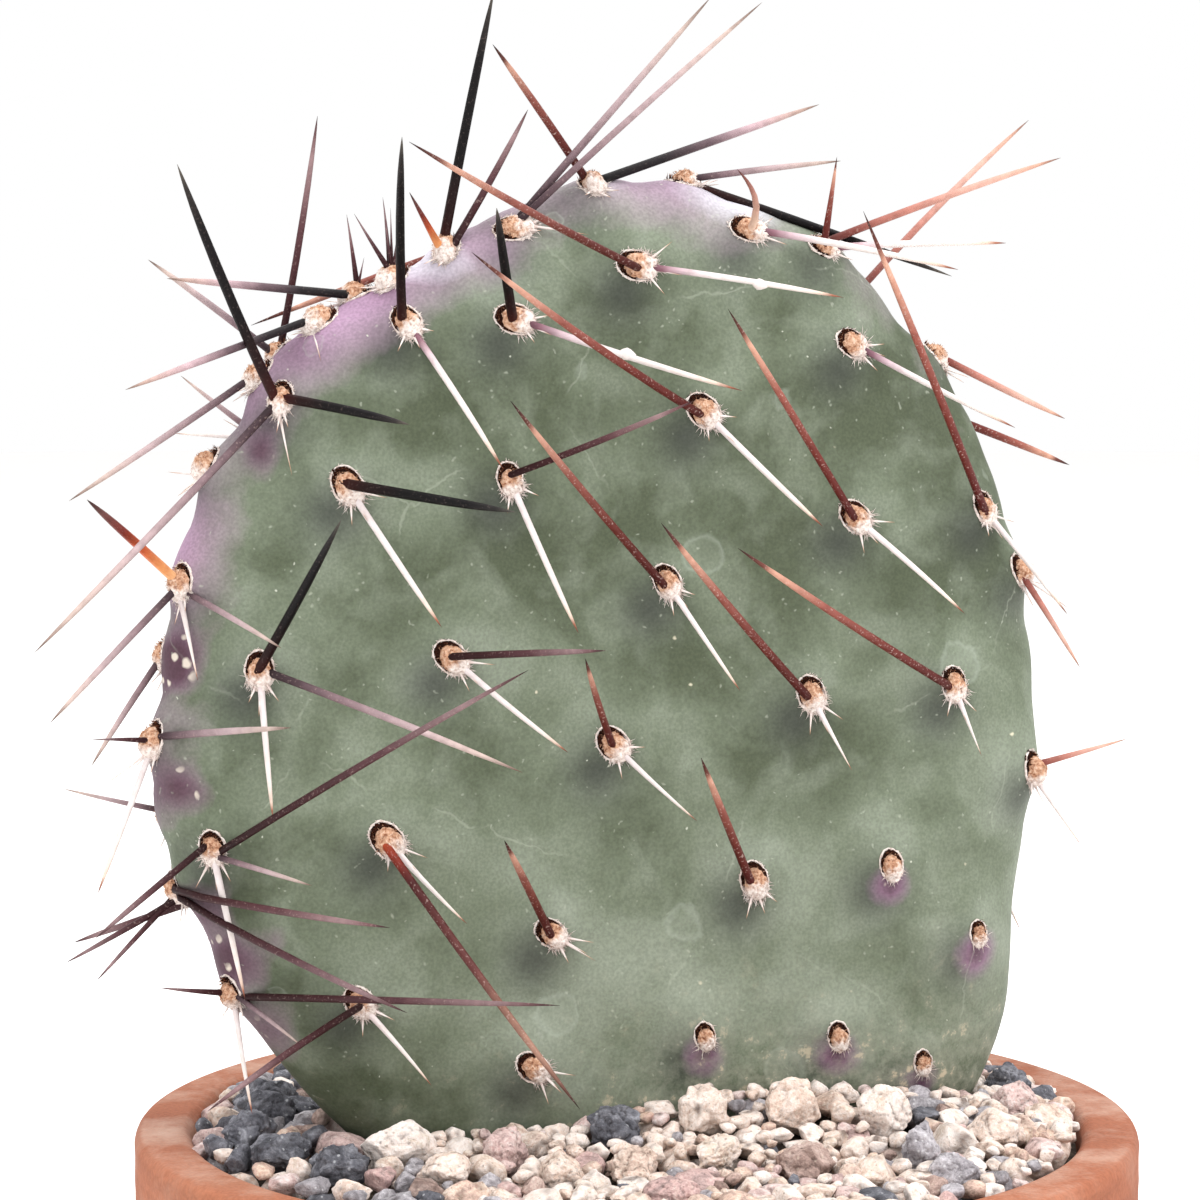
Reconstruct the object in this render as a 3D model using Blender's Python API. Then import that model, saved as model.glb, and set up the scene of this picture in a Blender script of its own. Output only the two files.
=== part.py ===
"""Potted prickly pear cactus: one flat spiny pad standing in coarse grit in a plain terracotta pot.

Units are metres, +Z is up, and the origin is the centre of the pot's foot. The pad's broad front faces -Y.
Run with: blender --background --python part.py
"""
import math
import random

import bmesh
import bpy
from mathutils import Matrix, Vector
from mathutils.geometry import delaunay_2d_cdt

MM = 0.001
SHARP_ANGLE = math.radians(35.0)

# Pot: a plain turned terracotta pot with a thick collar
POT_HEIGHT = 105.0 * MM
POT_FOOT_RADIUS = 41.0 * MM
POT_COLLAR_RADIUS = 59.5 * MM
POT_COLLAR_HEIGHT = 24.0 * MM
POT_COLLAR_STEP = 3.0 * MM
POT_MOUTH_RADIUS = 53.0 * MM
POT_WALL = 5.5 * MM
POT_FLOOR = 7.0 * MM
POT_EDGE = 1.5 * MM
POT_SIDES = 48
DRAIN_RADIUS = 5.0 * MM
DRAIN_RING = 19.0 * MM
DRAIN_HOLES = 3
DRAIN_SIDES = 16

# Filling: potting mix up to SOIL_TOP, then the bed of grit
GAP = 0.35 * MM
SOIL_TOP = 96.0 * MM
BED_EDGE = 105.2 * MM
BED_MOUND = 1.8 * MM
BED_HEAP = 3.2 * MM
BED_HEAP_CENTRE = 12.0 * MM
BED_HEAP_REACH = 20.0 * MM
BED_SLOPE_REACH = 12.0 * MM
PAD_FOOT_HALF_WIDTH = 34.0 * MM
PAD_FOOT_HALF_DEPTH = 9.0 * MM

# Pad: half thickness, and the radius at 24 places, clockwise from the top as seen from the front
PAD_CENTRE = Vector((-5.0 * MM, -3.0 * MM, 161.0 * MM))
PAD_HALF_THICKNESS = 8.6 * MM
PAD_TAPER = 0.016
PAD_EDGE_POWER = 6.0
PAD_RADII = [r * MM for r in (54.5, 54.5, 55.0, 52.5, 52.5, 52.0, 53.0, 55.5, 59.5, 69.5, 75.0, 74.0,
                              72.0, 68.0, 63.0, 59.0, 55.5, 54.5, 51.0, 51.0, 50.5, 51.0, 49.5, 52.0)]
PAD_SIDES = 60
PAD_RINGS = (0.18, 0.35, 0.50, 0.63, 0.74, 0.83, 0.90, 0.95, 0.985)
NORMAL_STEP = 0.05 * MM

# Areoles: the felt cushions, each on a low mound of the skin
MOUND_FACE = 0.9 * MM
MOUND_RIM = 1.2 * MM
MOUND_REACH = 4.6 * MM
CUSHION_LENGTH = 5.2 * MM
CUSHION_WIDTH = 3.7 * MM
CUSHION_PROUD = 1.1 * MM
CUSHION_SUNK = 1.6 * MM
CUSHION_SHOULDER = (0.85, 0.55)
CUSHION_SIDES = 6
CUSHION_HEADING = 165.0
CUSHION_LEAST_SLANT = 0.2

# Spines: how deep the roots are sunk, how far apart they stand on the cushion, and how far a spine stays
# off the skin, its lift being raised step by step until it does
SPINE_SUNK = 1.5 * MM
SPINE_SIDES = 3
SPINE_SPREAD = 0.8 * MM
SPINE_ROW = 0.6 * MM
SPINE_CLEAR = 0.5 * MM
SPINE_LIFT_STEP = 3
SPINE_LIFT_MOST = 60
SPINE_TESTED_AT = (0.2, 0.3, 0.45, 0.6, 0.8, 1.0)

# Root thickness of each kind of spine
SPINE_THICKNESS = {"black": 1.4 * MM, "dark": 1.25 * MM, "ember": 1.4 * MM, "pale": 1.15 * MM,
                   "white": 1.05 * MM, "small": 0.7 * MM}

# Front areoles: millimetres across and up from the pad's centre, then the spines.
# A spine is its heading in degrees clockwise from up, its lift off the face in degrees, its length in
# millimetres, and its kind.
FRONT_AREOLES = [
    (16.0, 49.0, [(330, 50, 12, "dark"), (102, 12, 25, "white")]),
    (2.0, 45.0, [(290, 45, 52, "dark"), (100, 12, 24, "white")]),
    (-12.5, 39.0, [(337, 48, 20, "black"), (109, 14, 27, "white")]),
    (-24.5, 38.5, [(346, 48, 30, "black"), (151, 15, 20, "white")]),
    (-11.5, 49.0, [(48, 6, 39, "pale"), (42, 0, 35, "pale"), (95, 20, 8, "small")]),
    (25.5, 47.0, [(3, 20, 11, "dark"), (71, 2, 31, "pale"), (88, 10, 21, "white")]),
    (28.0, 36.0, [(117, 12, 22, "white")]),
    (9.5, 28.5, [(298, 35, 46, "dark"), (137, 14, 19, "white")]),
    (-13.5, 21.0, [(60, 50, 28, "dark"), (160, 14, 19, "white")]),
    (-32.0, 20.5, [(99, 50, 24, "black"), (150, 15, 19, "white")]),
    (-38.5, 30.0, [(334, 15, 29, "black"), (103, 50, 18, "black"), (228, 18, 41, "pale"),
                   (176, 20, 8, "small")]),
    (45.0, 16.5, [(325, 30, 48, "dark"), (145, 12, 16, "white")]),
    (28.0, 16.0, [(319, 30, 37, "dark"), (134, 12, 17, "white")]),
    (5.0, 9.0, [(312, 35, 39, "dark"), (150, 14, 15, "white")]),
    (-20.5, 1.0, [(82, 50, 22, "dark"), (132, 14, 17, "white")]),
    (-42.0, 0.0, [(21, 40, 24, "black"), (112, 30, 32, "pale"), (176, 12, 16, "white")]),
    (40.5, -4.0, [(298, 30, 44, "dark"), (165, 14, 9, "white")]),
    (22.5, -4.5, [(311, 35, 40, "dark"), (157, 14, 10, "white")]),
    (-1.5, -9.5, [(333, 40, 16, "dark"), (136, 14, 13, "white")]),
    (-28.0, -19.5, [(148, 35, 39, "ember"), (140, 15, 13, "white")]),
    (-47.0, -20.0, [(241, 35, 20, "dark"), (47, 50, 54, "dark"), (104, 45, 14, "pale"),
                    (171, 10, 16, "white")]),
    (44.0, -34.0, []),
    (32.5, -25.0, []),
    (15.5, -26.0, [(329, 30, 21, "dark")]),
    (-9.0, -31.0, [(328, 40, 20, "dark"), (127, 15, 6, "small")]),
    (-31.0, -38.0, [(139, 14, 13, "white"), (251, 40, 29, "dark")]),
    (37.0, -49.0, []),
    (26.0, -45.0, []),
    (9.5, -44.0, []),
    (-11.0, -46.5, [(128, 20, 5, "small")]),
]

# Rim areoles: clock angle in degrees, millimetres back from the rim's middle, then the spines as above
RIM_AREOLES = [
    (358, -2.0, [(319, 20, 21, "dark"), (72, -10, 31, "black")]),
    (10, 0.0, [(83, 0, 20, "pale"), (109, 8, 34, "black")]),
    (38, 4.0, [(52, -20, 38, "pale")]),
    (50, 0.0, [(115, 0, 19, "pale")]),
    (58, 4.0, [(110, -8, 20, "dark"), (240, -55, 24, "dark")]),
    (80, -3.5, [(149, 10, 14, "pale"), (129, 0, 8, "small")]),
    (106, -4.0, [(75, 10, 12, "pale"), (151, 10, 11, "white")]),
    (118, 4.0, [(300, -55, 18, "pale"), (150, -15, 12, "white")]),
    (133, 5.0, []),
    (338, -2.0, [(7, 20, 30, "black"), (33, -10, 19, "dark"), (320, 40, 11, "ember")]),
    (330, -1.0, [(350, 10, 9, "dark"), (325, 12, 9, "dark"), (180, 35, 4, "small")]),
    (325, 0.5, [(348, 5, 9, "dark"), (275, 5, 22, "black")]),
    (319, -1.0, [(252, 25, 28, "black"), (190, 25, 6, "small")]),
    (313, 2.0, [(10, -5, 27, "dark"), (307, -8, 18, "pale")]),
    (309, 0.0, [(238, 10, 27, "pale")]),
    (303, 5.0, [(310, -25, 12, "pale"), (268, -30, 10, "white")]),
    (296, 0.0, [(255, 5, 5, "small")]),
    (281, -2.5, [(309, 40, 20, "ember"), (228, 20, 23, "pale"), (122, 45, 16, "pale"), (172, 10, 10, "white")]),
    (271, 3.0, [(214, 0, 16, "pale")]),
    (261, -1.5, [(79, 55, 22, "pale"), (277, 30, 9, "dark"), (203, 15, 18, "white"), (236, 0, 7, "small")]),
    (251, 4.0, [(281, -8, 12, "pale")]),
    (243, 1.0, [(93, 60, 36, "dark"), (116, 55, 38, "dark"), (226, 8, 14, "dark"), (241, -6, 15, "dark")]),
    (230, -2.0, [(279, 30, 10, "dark"), (128, 40, 11, "pale"), (82, 50, 46, "dark"), (176, 22, 13, "white")]),
    (22, 4.5, [(202, -55, 26, "dark"), (95, -20, 14, "white")]),
    (355, 4.5, [(250, -4, 38, "dark"), (170, -55, 24, "pale")]),
    (92, 4.0, [(272, -55, 22, "dark"), (200, -45, 13, "white")]),
    (238, 5.0, [(245, -35, 20, "dark")]),
]

# Back areoles: the same slanting rows as the front's, set half a step off, by a seeded rule
BACK_SEED = 41
BACK_ROW_STEP = (23.0 * MM, -8.0 * MM)
BACK_LINE_STEP = (-6.0 * MM, -20.0 * MM)
BACK_SHIFT = (4.0 * MM, 3.0 * MM)
BACK_LIMIT = 0.86
BACK_LOWEST = -47.0 * MM
BACK_SPINY_ABOVE = -24.0 * MM
BACK_DOWN_ABOVE = 18.0 * MM
BACK_JITTER = 1.2 * MM
BACK_ROWS = range(-3, 4)
BACK_LINES = range(-3, 4)

# Back spines by kind: how likely, then the ranges of heading, lift and length. Near the top the dark ones
# point down instead of up
BACK_SPINES = {
    "dark": (1.0, (-45, 45), (30, 50), (24, 42)),
    "black": (0.45, (60, 130), (28, 45), (18, 32)),
    "white": (1.0, (140, 215), (12, 18), (12, 20)),
}
BACK_LOW_SPINES = {"small": (1.0, (120, 240), (18, 24), (4, 8))}

# Loose stones: place, length, width and height in millimetres, and turn in degrees.
# Each sits in a pocket of the bed whose rows are a share of the stone's half width and of its half height.
STONES = [
    ("stone_dark_01", -42.0, 16.5, 8.0, 6.0, 5.5, 20),
    ("stone_dark_02", -46.8, 0.0, 6.5, 5.5, 4.5, 70),
    ("stone_dark_03", -43.0, 8.0, 6.5, 5.0, 5.5, 130),
    ("stone_dark_04", -45.0, -11.5, 7.0, 6.0, 4.5, 35),
    ("stone_dark_05", -40.5, -20.5, 6.5, 5.5, 4.5, 160),
    ("stone_cream_01", -33.0, -16.5, 8.0, 6.0, 5.5, 10),
    ("stone_cream_02", -29.5, -25.0, 6.5, 5.5, 4.5, 60),
    ("stone_pink_01", -21.5, -20.0, 5.5, 5.0, 5.5, 100),
    ("stone_tan_01", -17.0, -28.0, 5.5, 5.0, 4.5, 15),
    ("stone_dark_06", -7.5, -17.5, 6.5, 5.0, 5.0, 20),
    ("stone_tan_02", -8.5, -28.0, 6.0, 5.0, 4.5, 140),
    ("stone_pumice_01", 3.0, -17.5, 7.0, 5.5, 6.0, 75),
    ("stone_pink_02", -7.5, -38.5, 6.0, 5.0, 4.0, 0),
    ("stone_tan_03", 1.5, -27.0, 5.5, 5.0, 4.5, 50),
    ("stone_cream_03", 13.5, -18.5, 7.5, 6.0, 6.5, 30),
    ("stone_brown_01", 10.5, -31.5, 6.5, 5.5, 5.0, 110),
    ("stone_cream_04", 24.0, -20.0, 6.5, 6.0, 6.0, 85),
    ("stone_grey_01", 25.0, -29.5, 5.0, 4.5, 6.5, 40),
    ("stone_grey_02", 25.5, -39.0, 5.5, 5.0, 4.5, 150),
    ("stone_cream_05", 36.0, -24.5, 7.0, 6.0, 5.0, 20),
    ("stone_pink_03", 43.5, -12.0, 6.0, 5.5, 5.0, 65),
    ("stone_dark_07", 47.0, -1.0, 6.0, 5.0, 4.5, 100),
    ("stone_grey_03", 43.0, 14.0, 6.5, 5.5, 5.0, 125),
    ("stone_cream_06", 29.0, 21.5, 7.0, 6.0, 5.5, 45),
    ("stone_dark_08", 12.0, 30.0, 6.5, 5.5, 4.5, 5),
    ("stone_tan_04", 2.0, 18.5, 6.0, 5.5, 5.0, 80),
    ("stone_pumice_02", -18.0, 19.0, 7.0, 6.0, 6.0, 155),
    ("stone_brown_02", -27.0, 31.0, 6.5, 5.5, 4.5, 95),
]
STONE_DETAIL = 2
STONE_CUTS = 7
STONE_CUT_DEPTH = (0.62, 0.85)
STONE_FULLNESS = 1.12
STONE_SINK = 0.45
SEAT_SIDES = 8
SEAT_ROWS = ((0.8, -1.0), (1.0, 0.0), (1.1, 1.5))

# Small grit: the bed's top rises to the middle of every grain and dips between grains
GRIT_SEED = 17
GRIT_STEP = 3.4 * MM
GRIT_JITTER = 0.22
GRIT_RISE = (0.9 * MM, 2.1 * MM)
GRIT_DIP = (0.1 * MM, 0.7 * MM)
GRIT_RIM = 1.8 * MM

# Colours as sRGB hex, roughness and metallic value
FINISHES = {
    "terracotta": ("B5694A", 0.90, 0.0),
    "potting_mix": ("3B2E26", 0.95, 0.0),
    "grit": ("A6988A", 0.90, 0.0),
    "cactus": ("7E8F78", 0.60, 0.0),
    "dark": ("4C4A4E", 0.90, 0.0),
    "cream": ("D6C7B0", 0.85, 0.0),
    "pink": ("BFA096", 0.85, 0.0),
    "tan": ("B99F84", 0.85, 0.0),
    "pumice": ("CFC3B6", 0.95, 0.0),
    "brown": ("8D7567", 0.90, 0.0),
    "grey": ("8B8582", 0.90, 0.0),
}


def clear_scene():
    """Removes what the file opened with."""
    for item in list(bpy.data.objects):
        bpy.data.objects.remove(item, do_unlink=True)


def finish(name):
    """A Principled material with the finish of that name."""
    if name in bpy.data.materials:
        return bpy.data.materials[name]
    hex_colour, roughness, metallic = FINISHES[name]
    srgb = [int(hex_colour[i:i + 2], 16) / 255.0 for i in (0, 2, 4)]
    linear = [c / 12.92 if c <= 0.04045 else ((c + 0.055) / 1.055) ** 2.4 for c in srgb]
    material = bpy.data.materials.new(name)
    material.use_nodes = True
    shader = material.node_tree.nodes["Principled BSDF"]
    shader.inputs["Base Color"].default_value = (*linear, 1.0)
    shader.inputs["Roughness"].default_value = roughness
    shader.inputs["Metallic"].default_value = metallic
    return material


def add_object(name, shape, finish_name, collection=None):
    """Turns a bmesh into a named object with a material, its faces pointing out."""
    bmesh.ops.recalc_face_normals(shape, faces=shape.faces)
    mesh = bpy.data.meshes.new(name)
    shape.to_mesh(mesh)
    shape.free()
    mesh.materials.append(finish(finish_name))
    item = bpy.data.objects.new(name, mesh)
    (collection or bpy.context.scene.collection).objects.link(item)
    return item


def apply_modifiers(item):
    """Replaces an object's mesh with the one that its modifiers give."""
    graph = bpy.context.evaluated_depsgraph_get()
    mesh = bpy.data.meshes.new_from_object(item.evaluated_get(graph))
    item.modifiers.clear()
    item.data = mesh


def boolean(item, operation, other=None, collection=None, solver="EXACT"):
    """Applies one Boolean with an object or a collection."""
    cut = item.modifiers.new(operation.lower(), "BOOLEAN")
    cut.operation = operation
    cut.solver = solver
    if collection is not None:
        cut.operand_type = "COLLECTION"
        cut.collection = collection
    else:
        cut.object = other
    bpy.context.view_layer.update()
    apply_modifiers(item)


def remove_collection(collection):
    """Removes a collection and what is in it."""
    for item in list(collection.objects):
        bpy.data.objects.remove(item, do_unlink=True)
    bpy.data.collections.remove(collection)


def drop_scraps(item):
    """Keeps the largest connected body of an object, and drops any loose scrap."""
    shape = bmesh.new()
    shape.from_mesh(item.data)
    left = set(shape.verts)
    bodies = []
    while left:
        start = left.pop()
        body = {start}
        edge_of_body = [start]
        while edge_of_body:
            vert = edge_of_body.pop()
            for edge in vert.link_edges:
                other = edge.other_vert(vert)
                if other not in body:
                    body.add(other)
                    edge_of_body.append(other)
        left -= body
        bodies.append(body)
    bodies.sort(key=len, reverse=True)
    scraps = [vert for body in bodies[1:] for vert in body]
    bmesh.ops.delete(shape, geom=scraps, context="VERTS")
    shape.to_mesh(item.data)
    shape.free()


def turned(profile, sides):
    """A bmesh turned round Z from a closed profile of (radius, height) points; radius 0 is on the axis."""
    shape = bmesh.new()
    rows = []
    for radius, height in profile:
        if radius == 0.0:
            rows.append([shape.verts.new((0.0, 0.0, height))])
            continue
        turn = [2.0 * math.pi * side / sides for side in range(sides)]
        rows.append([shape.verts.new((radius * math.cos(a), radius * math.sin(a), height)) for a in turn])
    for below, above in zip(rows, rows[1:]):
        for side in range(sides):
            after = (side + 1) % sides
            if len(below) == 1:
                shape.faces.new((below[0], above[side], above[after]))
            elif len(above) == 1:
                shape.faces.new((below[side], below[after], above[0]))
            else:
                shape.faces.new((below[side], below[after], above[after], above[side]))
    return shape


def wall_radius(height):
    """Outer radius of the pot's plain wall at a height."""
    shoulder = POT_HEIGHT - POT_COLLAR_HEIGHT
    top = POT_COLLAR_RADIUS - POT_COLLAR_STEP
    return POT_FOOT_RADIUS + (top - POT_FOOT_RADIUS) * height / shoulder


def inner_radius(height):
    """Inner radius of the pot at a height, the same slope as the wall's up to the mouth."""
    floor = wall_radius(POT_FLOOR) - POT_WALL
    share = (height - POT_FLOOR) / (POT_HEIGHT - POT_FLOOR)
    return floor + (POT_MOUTH_RADIUS - floor) * share


def make_pot():
    """The turned pot, with its collar, rounded lip and drainage holes."""
    shoulder = POT_HEIGHT - POT_COLLAR_HEIGHT
    profile = [
        (0.0, 0.0),
        (POT_FOOT_RADIUS - POT_EDGE, 0.0),
        (POT_FOOT_RADIUS, POT_EDGE),
        (wall_radius(shoulder), shoulder),
        (POT_COLLAR_RADIUS - POT_EDGE * 0.5, shoulder + POT_EDGE * 0.3),
        (POT_COLLAR_RADIUS, shoulder + POT_EDGE),
        (POT_COLLAR_RADIUS, POT_HEIGHT - POT_EDGE),
        (POT_COLLAR_RADIUS - POT_EDGE, POT_HEIGHT),
        (POT_MOUTH_RADIUS + POT_EDGE, POT_HEIGHT),
        (POT_MOUTH_RADIUS, POT_HEIGHT - POT_EDGE),
        (inner_radius(POT_FLOOR + POT_EDGE), POT_FLOOR + POT_EDGE),
        (inner_radius(POT_FLOOR) - POT_EDGE, POT_FLOOR),
        (0.0, POT_FLOOR),
    ]
    pot = add_object("pot", turned(profile, POT_SIDES), "terracotta")
    drains = bpy.data.collections.new("drains")
    bpy.context.scene.collection.children.link(drains)
    for hole in range(DRAIN_HOLES):
        angle = 2.0 * math.pi * (hole + 0.25) / DRAIN_HOLES
        place = Vector((DRAIN_RING * math.cos(angle), DRAIN_RING * math.sin(angle), POT_FLOOR * 0.5))
        shape = bmesh.new()
        bmesh.ops.create_cone(shape, cap_ends=True, segments=DRAIN_SIDES, radius1=DRAIN_RADIUS,
                              radius2=DRAIN_RADIUS, depth=POT_FLOOR * 3.0, matrix=Matrix.Translation(place))
        cutter = add_object(f"drain_{hole + 1}", shape, "terracotta", drains)
        cutter.hide_render = True
        cutter.display_type = "WIRE"
    boolean(pot, "DIFFERENCE", collection=drains)
    remove_collection(drains)
    pot.data.shade_smooth()
    pot.data.set_sharp_from_angle(angle=SHARP_ANGLE)


def pad_radius(angle):
    """The pad's outline: a smooth closed curve through PAD_RADII, angle in radians clockwise from up."""
    count = len(PAD_RADII)
    place = (angle / (2.0 * math.pi) * count) % count
    first = int(place)
    t = place - first
    a, b, c, d = (PAD_RADII[(first + k) % count] for k in (-1, 0, 1, 2))
    return 0.5 * (2 * b + (c - a) * t + (2 * a - 5 * b + 4 * c - d) * t ** 2 + (3 * b - a - 3 * c + d) * t ** 3)


def pad_thickness(up):
    """Half thickness at a height from the pad's centre: the foot is thicker than the top."""
    return PAD_HALF_THICKNESS - PAD_TAPER * up


def pad_level(point):
    """Negative inside the smooth pad and positive outside it. The point is measured from the pad's centre."""
    share = math.hypot(point.x, point.z) / pad_radius(math.atan2(point.x, point.z))
    return (point.y / pad_thickness(point.z)) ** 2 + share ** PAD_EDGE_POWER - 1.0


def pad_normal(point):
    """The smooth pad's outward direction at a point near its surface."""
    slope = Vector()
    for axis in range(3):
        shift = Vector()
        shift[axis] = NORMAL_STEP
        slope[axis] = pad_level(point + shift) - pad_level(point - shift)
    return slope.normalized()


def face_point(across, up, side):
    """The point of the smooth pad's face at a place; side is -1 for the front and 1 for the back."""
    share = math.hypot(across, up) / pad_radius(math.atan2(across, up))
    bulge = math.sqrt(max(0.0, 1.0 - share ** PAD_EDGE_POWER))
    return Vector((across, side * pad_thickness(up) * bulge, up))


def rim_point(clock, back):
    """The point of the smooth pad's rim at a clock angle in degrees, so far back from the rim's middle."""
    angle = math.radians(clock)
    radius = pad_radius(angle)
    thickness = pad_thickness(radius * math.cos(angle))
    share = (1.0 - (back / thickness) ** 2) ** (1.0 / PAD_EDGE_POWER)
    return Vector((radius * share * math.sin(angle), back, radius * share * math.cos(angle)))


def back_spines(up, draw):
    """The spines of one back areole: long dark and white ones, but only a small one near the soil."""
    spines = []
    kinds = BACK_SPINES if up > BACK_SPINY_ABOVE else BACK_LOW_SPINES
    for kind, (chance, *ranges) in kinds.items():
        heading, lift, length = (draw.uniform(*span) for span in ranges)
        if kind == "dark" and up > BACK_DOWN_ABOVE:
            heading += 180.0
        if draw.random() < chance:
            spines.append((heading % 360, lift, length, kind))
    return spines


def list_areoles():
    """All areoles as (frame, mound, spines), with each spine a (direction, length, kind)."""
    found = []
    for across, up, spines in FRONT_AREOLES:
        found.append((face_point(across * MM, up * MM, -1.0), MOUND_FACE, spines, -1.0))
    for clock, back, spines in RIM_AREOLES:
        found.append((rim_point(clock, back * MM), MOUND_RIM, spines, -1.0))
    draw = random.Random(BACK_SEED)
    for row in BACK_ROWS:
        for line in BACK_LINES:
            across = row * BACK_ROW_STEP[0] + line * BACK_LINE_STEP[0] + BACK_SHIFT[0]
            up = row * BACK_ROW_STEP[1] + line * BACK_LINE_STEP[1] + BACK_SHIFT[1]
            across += draw.uniform(-BACK_JITTER, BACK_JITTER)
            up += draw.uniform(-BACK_JITTER, BACK_JITTER)
            spines = back_spines(up, draw)
            share = math.hypot(across, up) / pad_radius(math.atan2(across, up))
            if share < BACK_LIMIT and up > BACK_LOWEST:
                found.append((face_point(across, up, 1.0), MOUND_FACE, spines, 1.0))
    areoles = []
    for point, mound, spines, side in found:
        frame = areole_frame(point, mound, spines, side)
        root = frame.translation - PAD_CENTRE
        drawn = [(clear_direction(root, heading, lift, length * MM, side), length * MM, kind)
                 for heading, lift, length, kind in spines]
        areoles.append((frame, mound, drawn))
    return areoles


def areole_frame(point, mound, spines, side):
    """Placement of an areole: its Z points out of the skin, and its lowest spine grows at its -Y end."""
    normal = pad_normal(point)
    headings = [heading for heading, _, _, kind in spines if kind in ("white", "small")]
    down = spine_direction(headings[0] if headings else CUSHION_HEADING, 0.0, side)
    along = normal * down.dot(normal) - down
    if along.length < CUSHION_LEAST_SLANT:
        along = Vector((0.0, 1.0, 0.0)) - normal * normal.y
    along.normalize()
    frame = Matrix((along.cross(normal), along, normal)).transposed().to_4x4()
    frame.translation = PAD_CENTRE + point + normal * mound
    return frame


def spine_direction(heading, lift, side):
    """Unit direction of a spine; side -1 lifts towards the front and 1 towards the back."""
    turn = math.radians(heading)
    rise = math.radians(lift)
    return Vector((math.sin(turn) * math.cos(rise), side * math.sin(rise), math.cos(turn) * math.cos(rise)))


def clear_direction(root, heading, lift, length, side):
    """Direction of a spine, its lift raised by a few degrees at a time until it stands clear of the skin."""
    for extra in range(0, SPINE_LIFT_MOST, SPINE_LIFT_STEP):
        direction = spine_direction(heading, lift + extra, side)
        steps = [length * share for share in SPINE_TESTED_AT]
        if not any(near_skin(root + direction * step, SPINE_CLEAR) for step in steps):
            return direction
    raise ValueError(f"a spine with heading {heading} can't leave the skin")


def near_skin(point, clear):
    """Whether a point, measured from the pad's centre, is inside the pad or closer to it than a distance."""
    return pad_level(point - pad_normal(point) * clear) < 0.0


def mound_height(point, areoles):
    """How far the areoles' mounds raise the skin at a point of the smooth pad."""
    height = 0.0
    for frame, mound, _ in areoles:
        foot = frame.translation - PAD_CENTRE - frame.to_3x3().col[2] * mound
        height = max(height, mound * math.exp(-((point - foot).length / MOUND_REACH) ** 2))
    return height


def pad_body(areoles, extra=0.0):
    """The pad without its cushions and spines, as a bmesh, grown by an extra distance all over."""
    shape = bmesh.new()

    def skin(point):
        normal = pad_normal(point)
        return shape.verts.new(PAD_CENTRE + point + normal * (mound_height(point, areoles) + extra))

    angles = [2.0 * math.pi * side / PAD_SIDES for side in range(PAD_SIDES)]
    rim = [skin(rim_point(math.degrees(angle), 0.0)) for angle in angles]
    for side in (-1.0, 1.0):
        ring_before = [skin(face_point(0.0, 0.0, side))]
        for share in PAD_RINGS:
            ring = []
            for angle in angles:
                reach = pad_radius(angle) * share
                ring.append(skin(face_point(reach * math.sin(angle), reach * math.cos(angle), side)))
            join_rings(shape, ring_before, ring)
            ring_before = ring
        join_rings(shape, ring_before, rim)
    return shape


def join_rings(shape, inner, outer):
    """Faces between two rings of points, or between one point and a ring."""
    count = len(outer)
    for index in range(count):
        after = (index + 1) % count
        if len(inner) == 1:
            shape.faces.new((inner[0], outer[index], outer[after]))
        else:
            shape.faces.new((inner[index], inner[after], outer[after], outer[index]))


def cushion(frame):
    """A low oval felt cushion, its root sunk in the skin."""
    shape = bmesh.new()
    shoulder, rise = CUSHION_SHOULDER
    rows = ((0.0, CUSHION_PROUD, 0.0), (shoulder, CUSHION_PROUD * rise, 0.5), (1.0, -CUSHION_SUNK, 0.0))
    rings = []
    for size, height, shift in rows:
        if size == 0.0:
            rings.append([shape.verts.new((0.0, 0.0, height))])
            continue
        ring = []
        for side in range(CUSHION_SIDES):
            angle = 2.0 * math.pi * (side + shift) / CUSHION_SIDES
            across = 0.5 * CUSHION_WIDTH * size * math.cos(angle)
            ring.append(shape.verts.new((across, 0.5 * CUSHION_LENGTH * size * math.sin(angle), height)))
        rings.append(ring)
    join_rings(shape, rings[0], rings[1])
    join_rings(shape, rings[1], rings[2])
    shape.faces.new(rings[2])
    bmesh.ops.triangulate(shape, faces=shape.faces)
    bmesh.ops.transform(shape, matrix=frame, verts=shape.verts)
    return shape


def spine(root, direction, length, thickness):
    """A straight three-sided needle, its root sunk and its point sharp."""
    shape = bmesh.new()
    start = root - direction * SPINE_SUNK
    turn = direction.to_track_quat("Z", "Y").to_matrix().to_4x4()
    turn.translation = start
    base = []
    for side in range(SPINE_SIDES):
        angle = 2.0 * math.pi * (side + 0.3) / SPINE_SIDES
        corner = (0.5 * thickness * math.cos(angle), 0.5 * thickness * math.sin(angle), 0.0)
        base.append(shape.verts.new(corner))
    tip = shape.verts.new((0.0, 0.0, length + SPINE_SUNK))
    for side in range(SPINE_SIDES):
        shape.faces.new((base[side], base[(side + 1) % SPINE_SIDES], tip))
    shape.faces.new(base[::-1])
    bmesh.ops.transform(shape, matrix=turn, verts=shape.verts)
    return shape


def make_pad(areoles):
    """The pad with its areoles and spines fused to it."""
    pad = add_object("pad", pad_body(areoles), "cactus")
    repeats = bpy.data.collections.new("areoles_and_spines")
    bpy.context.scene.collection.children.link(repeats)
    for number, (frame, _, spines) in enumerate(areoles):
        add_object(f"cushion_{number}", cushion(frame), "cactus", repeats)
        for place, (direction, length, kind) in enumerate(spines):
            root = Vector(((place % 2 - 0.5) * SPINE_SPREAD, (1 - place) * SPINE_ROW, 0.0))
            needle = spine(frame @ root, direction, length, SPINE_THICKNESS[kind])
            add_object(f"spine_{number}_{place}", needle, "cactus", repeats)
    boolean(pad, "UNION", collection=repeats, solver="MANIFOLD")
    remove_collection(repeats)
    drop_scraps(pad)
    pad.data.shade_smooth()
    pad.data.set_sharp_from_angle(angle=SHARP_ANGLE)


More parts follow.
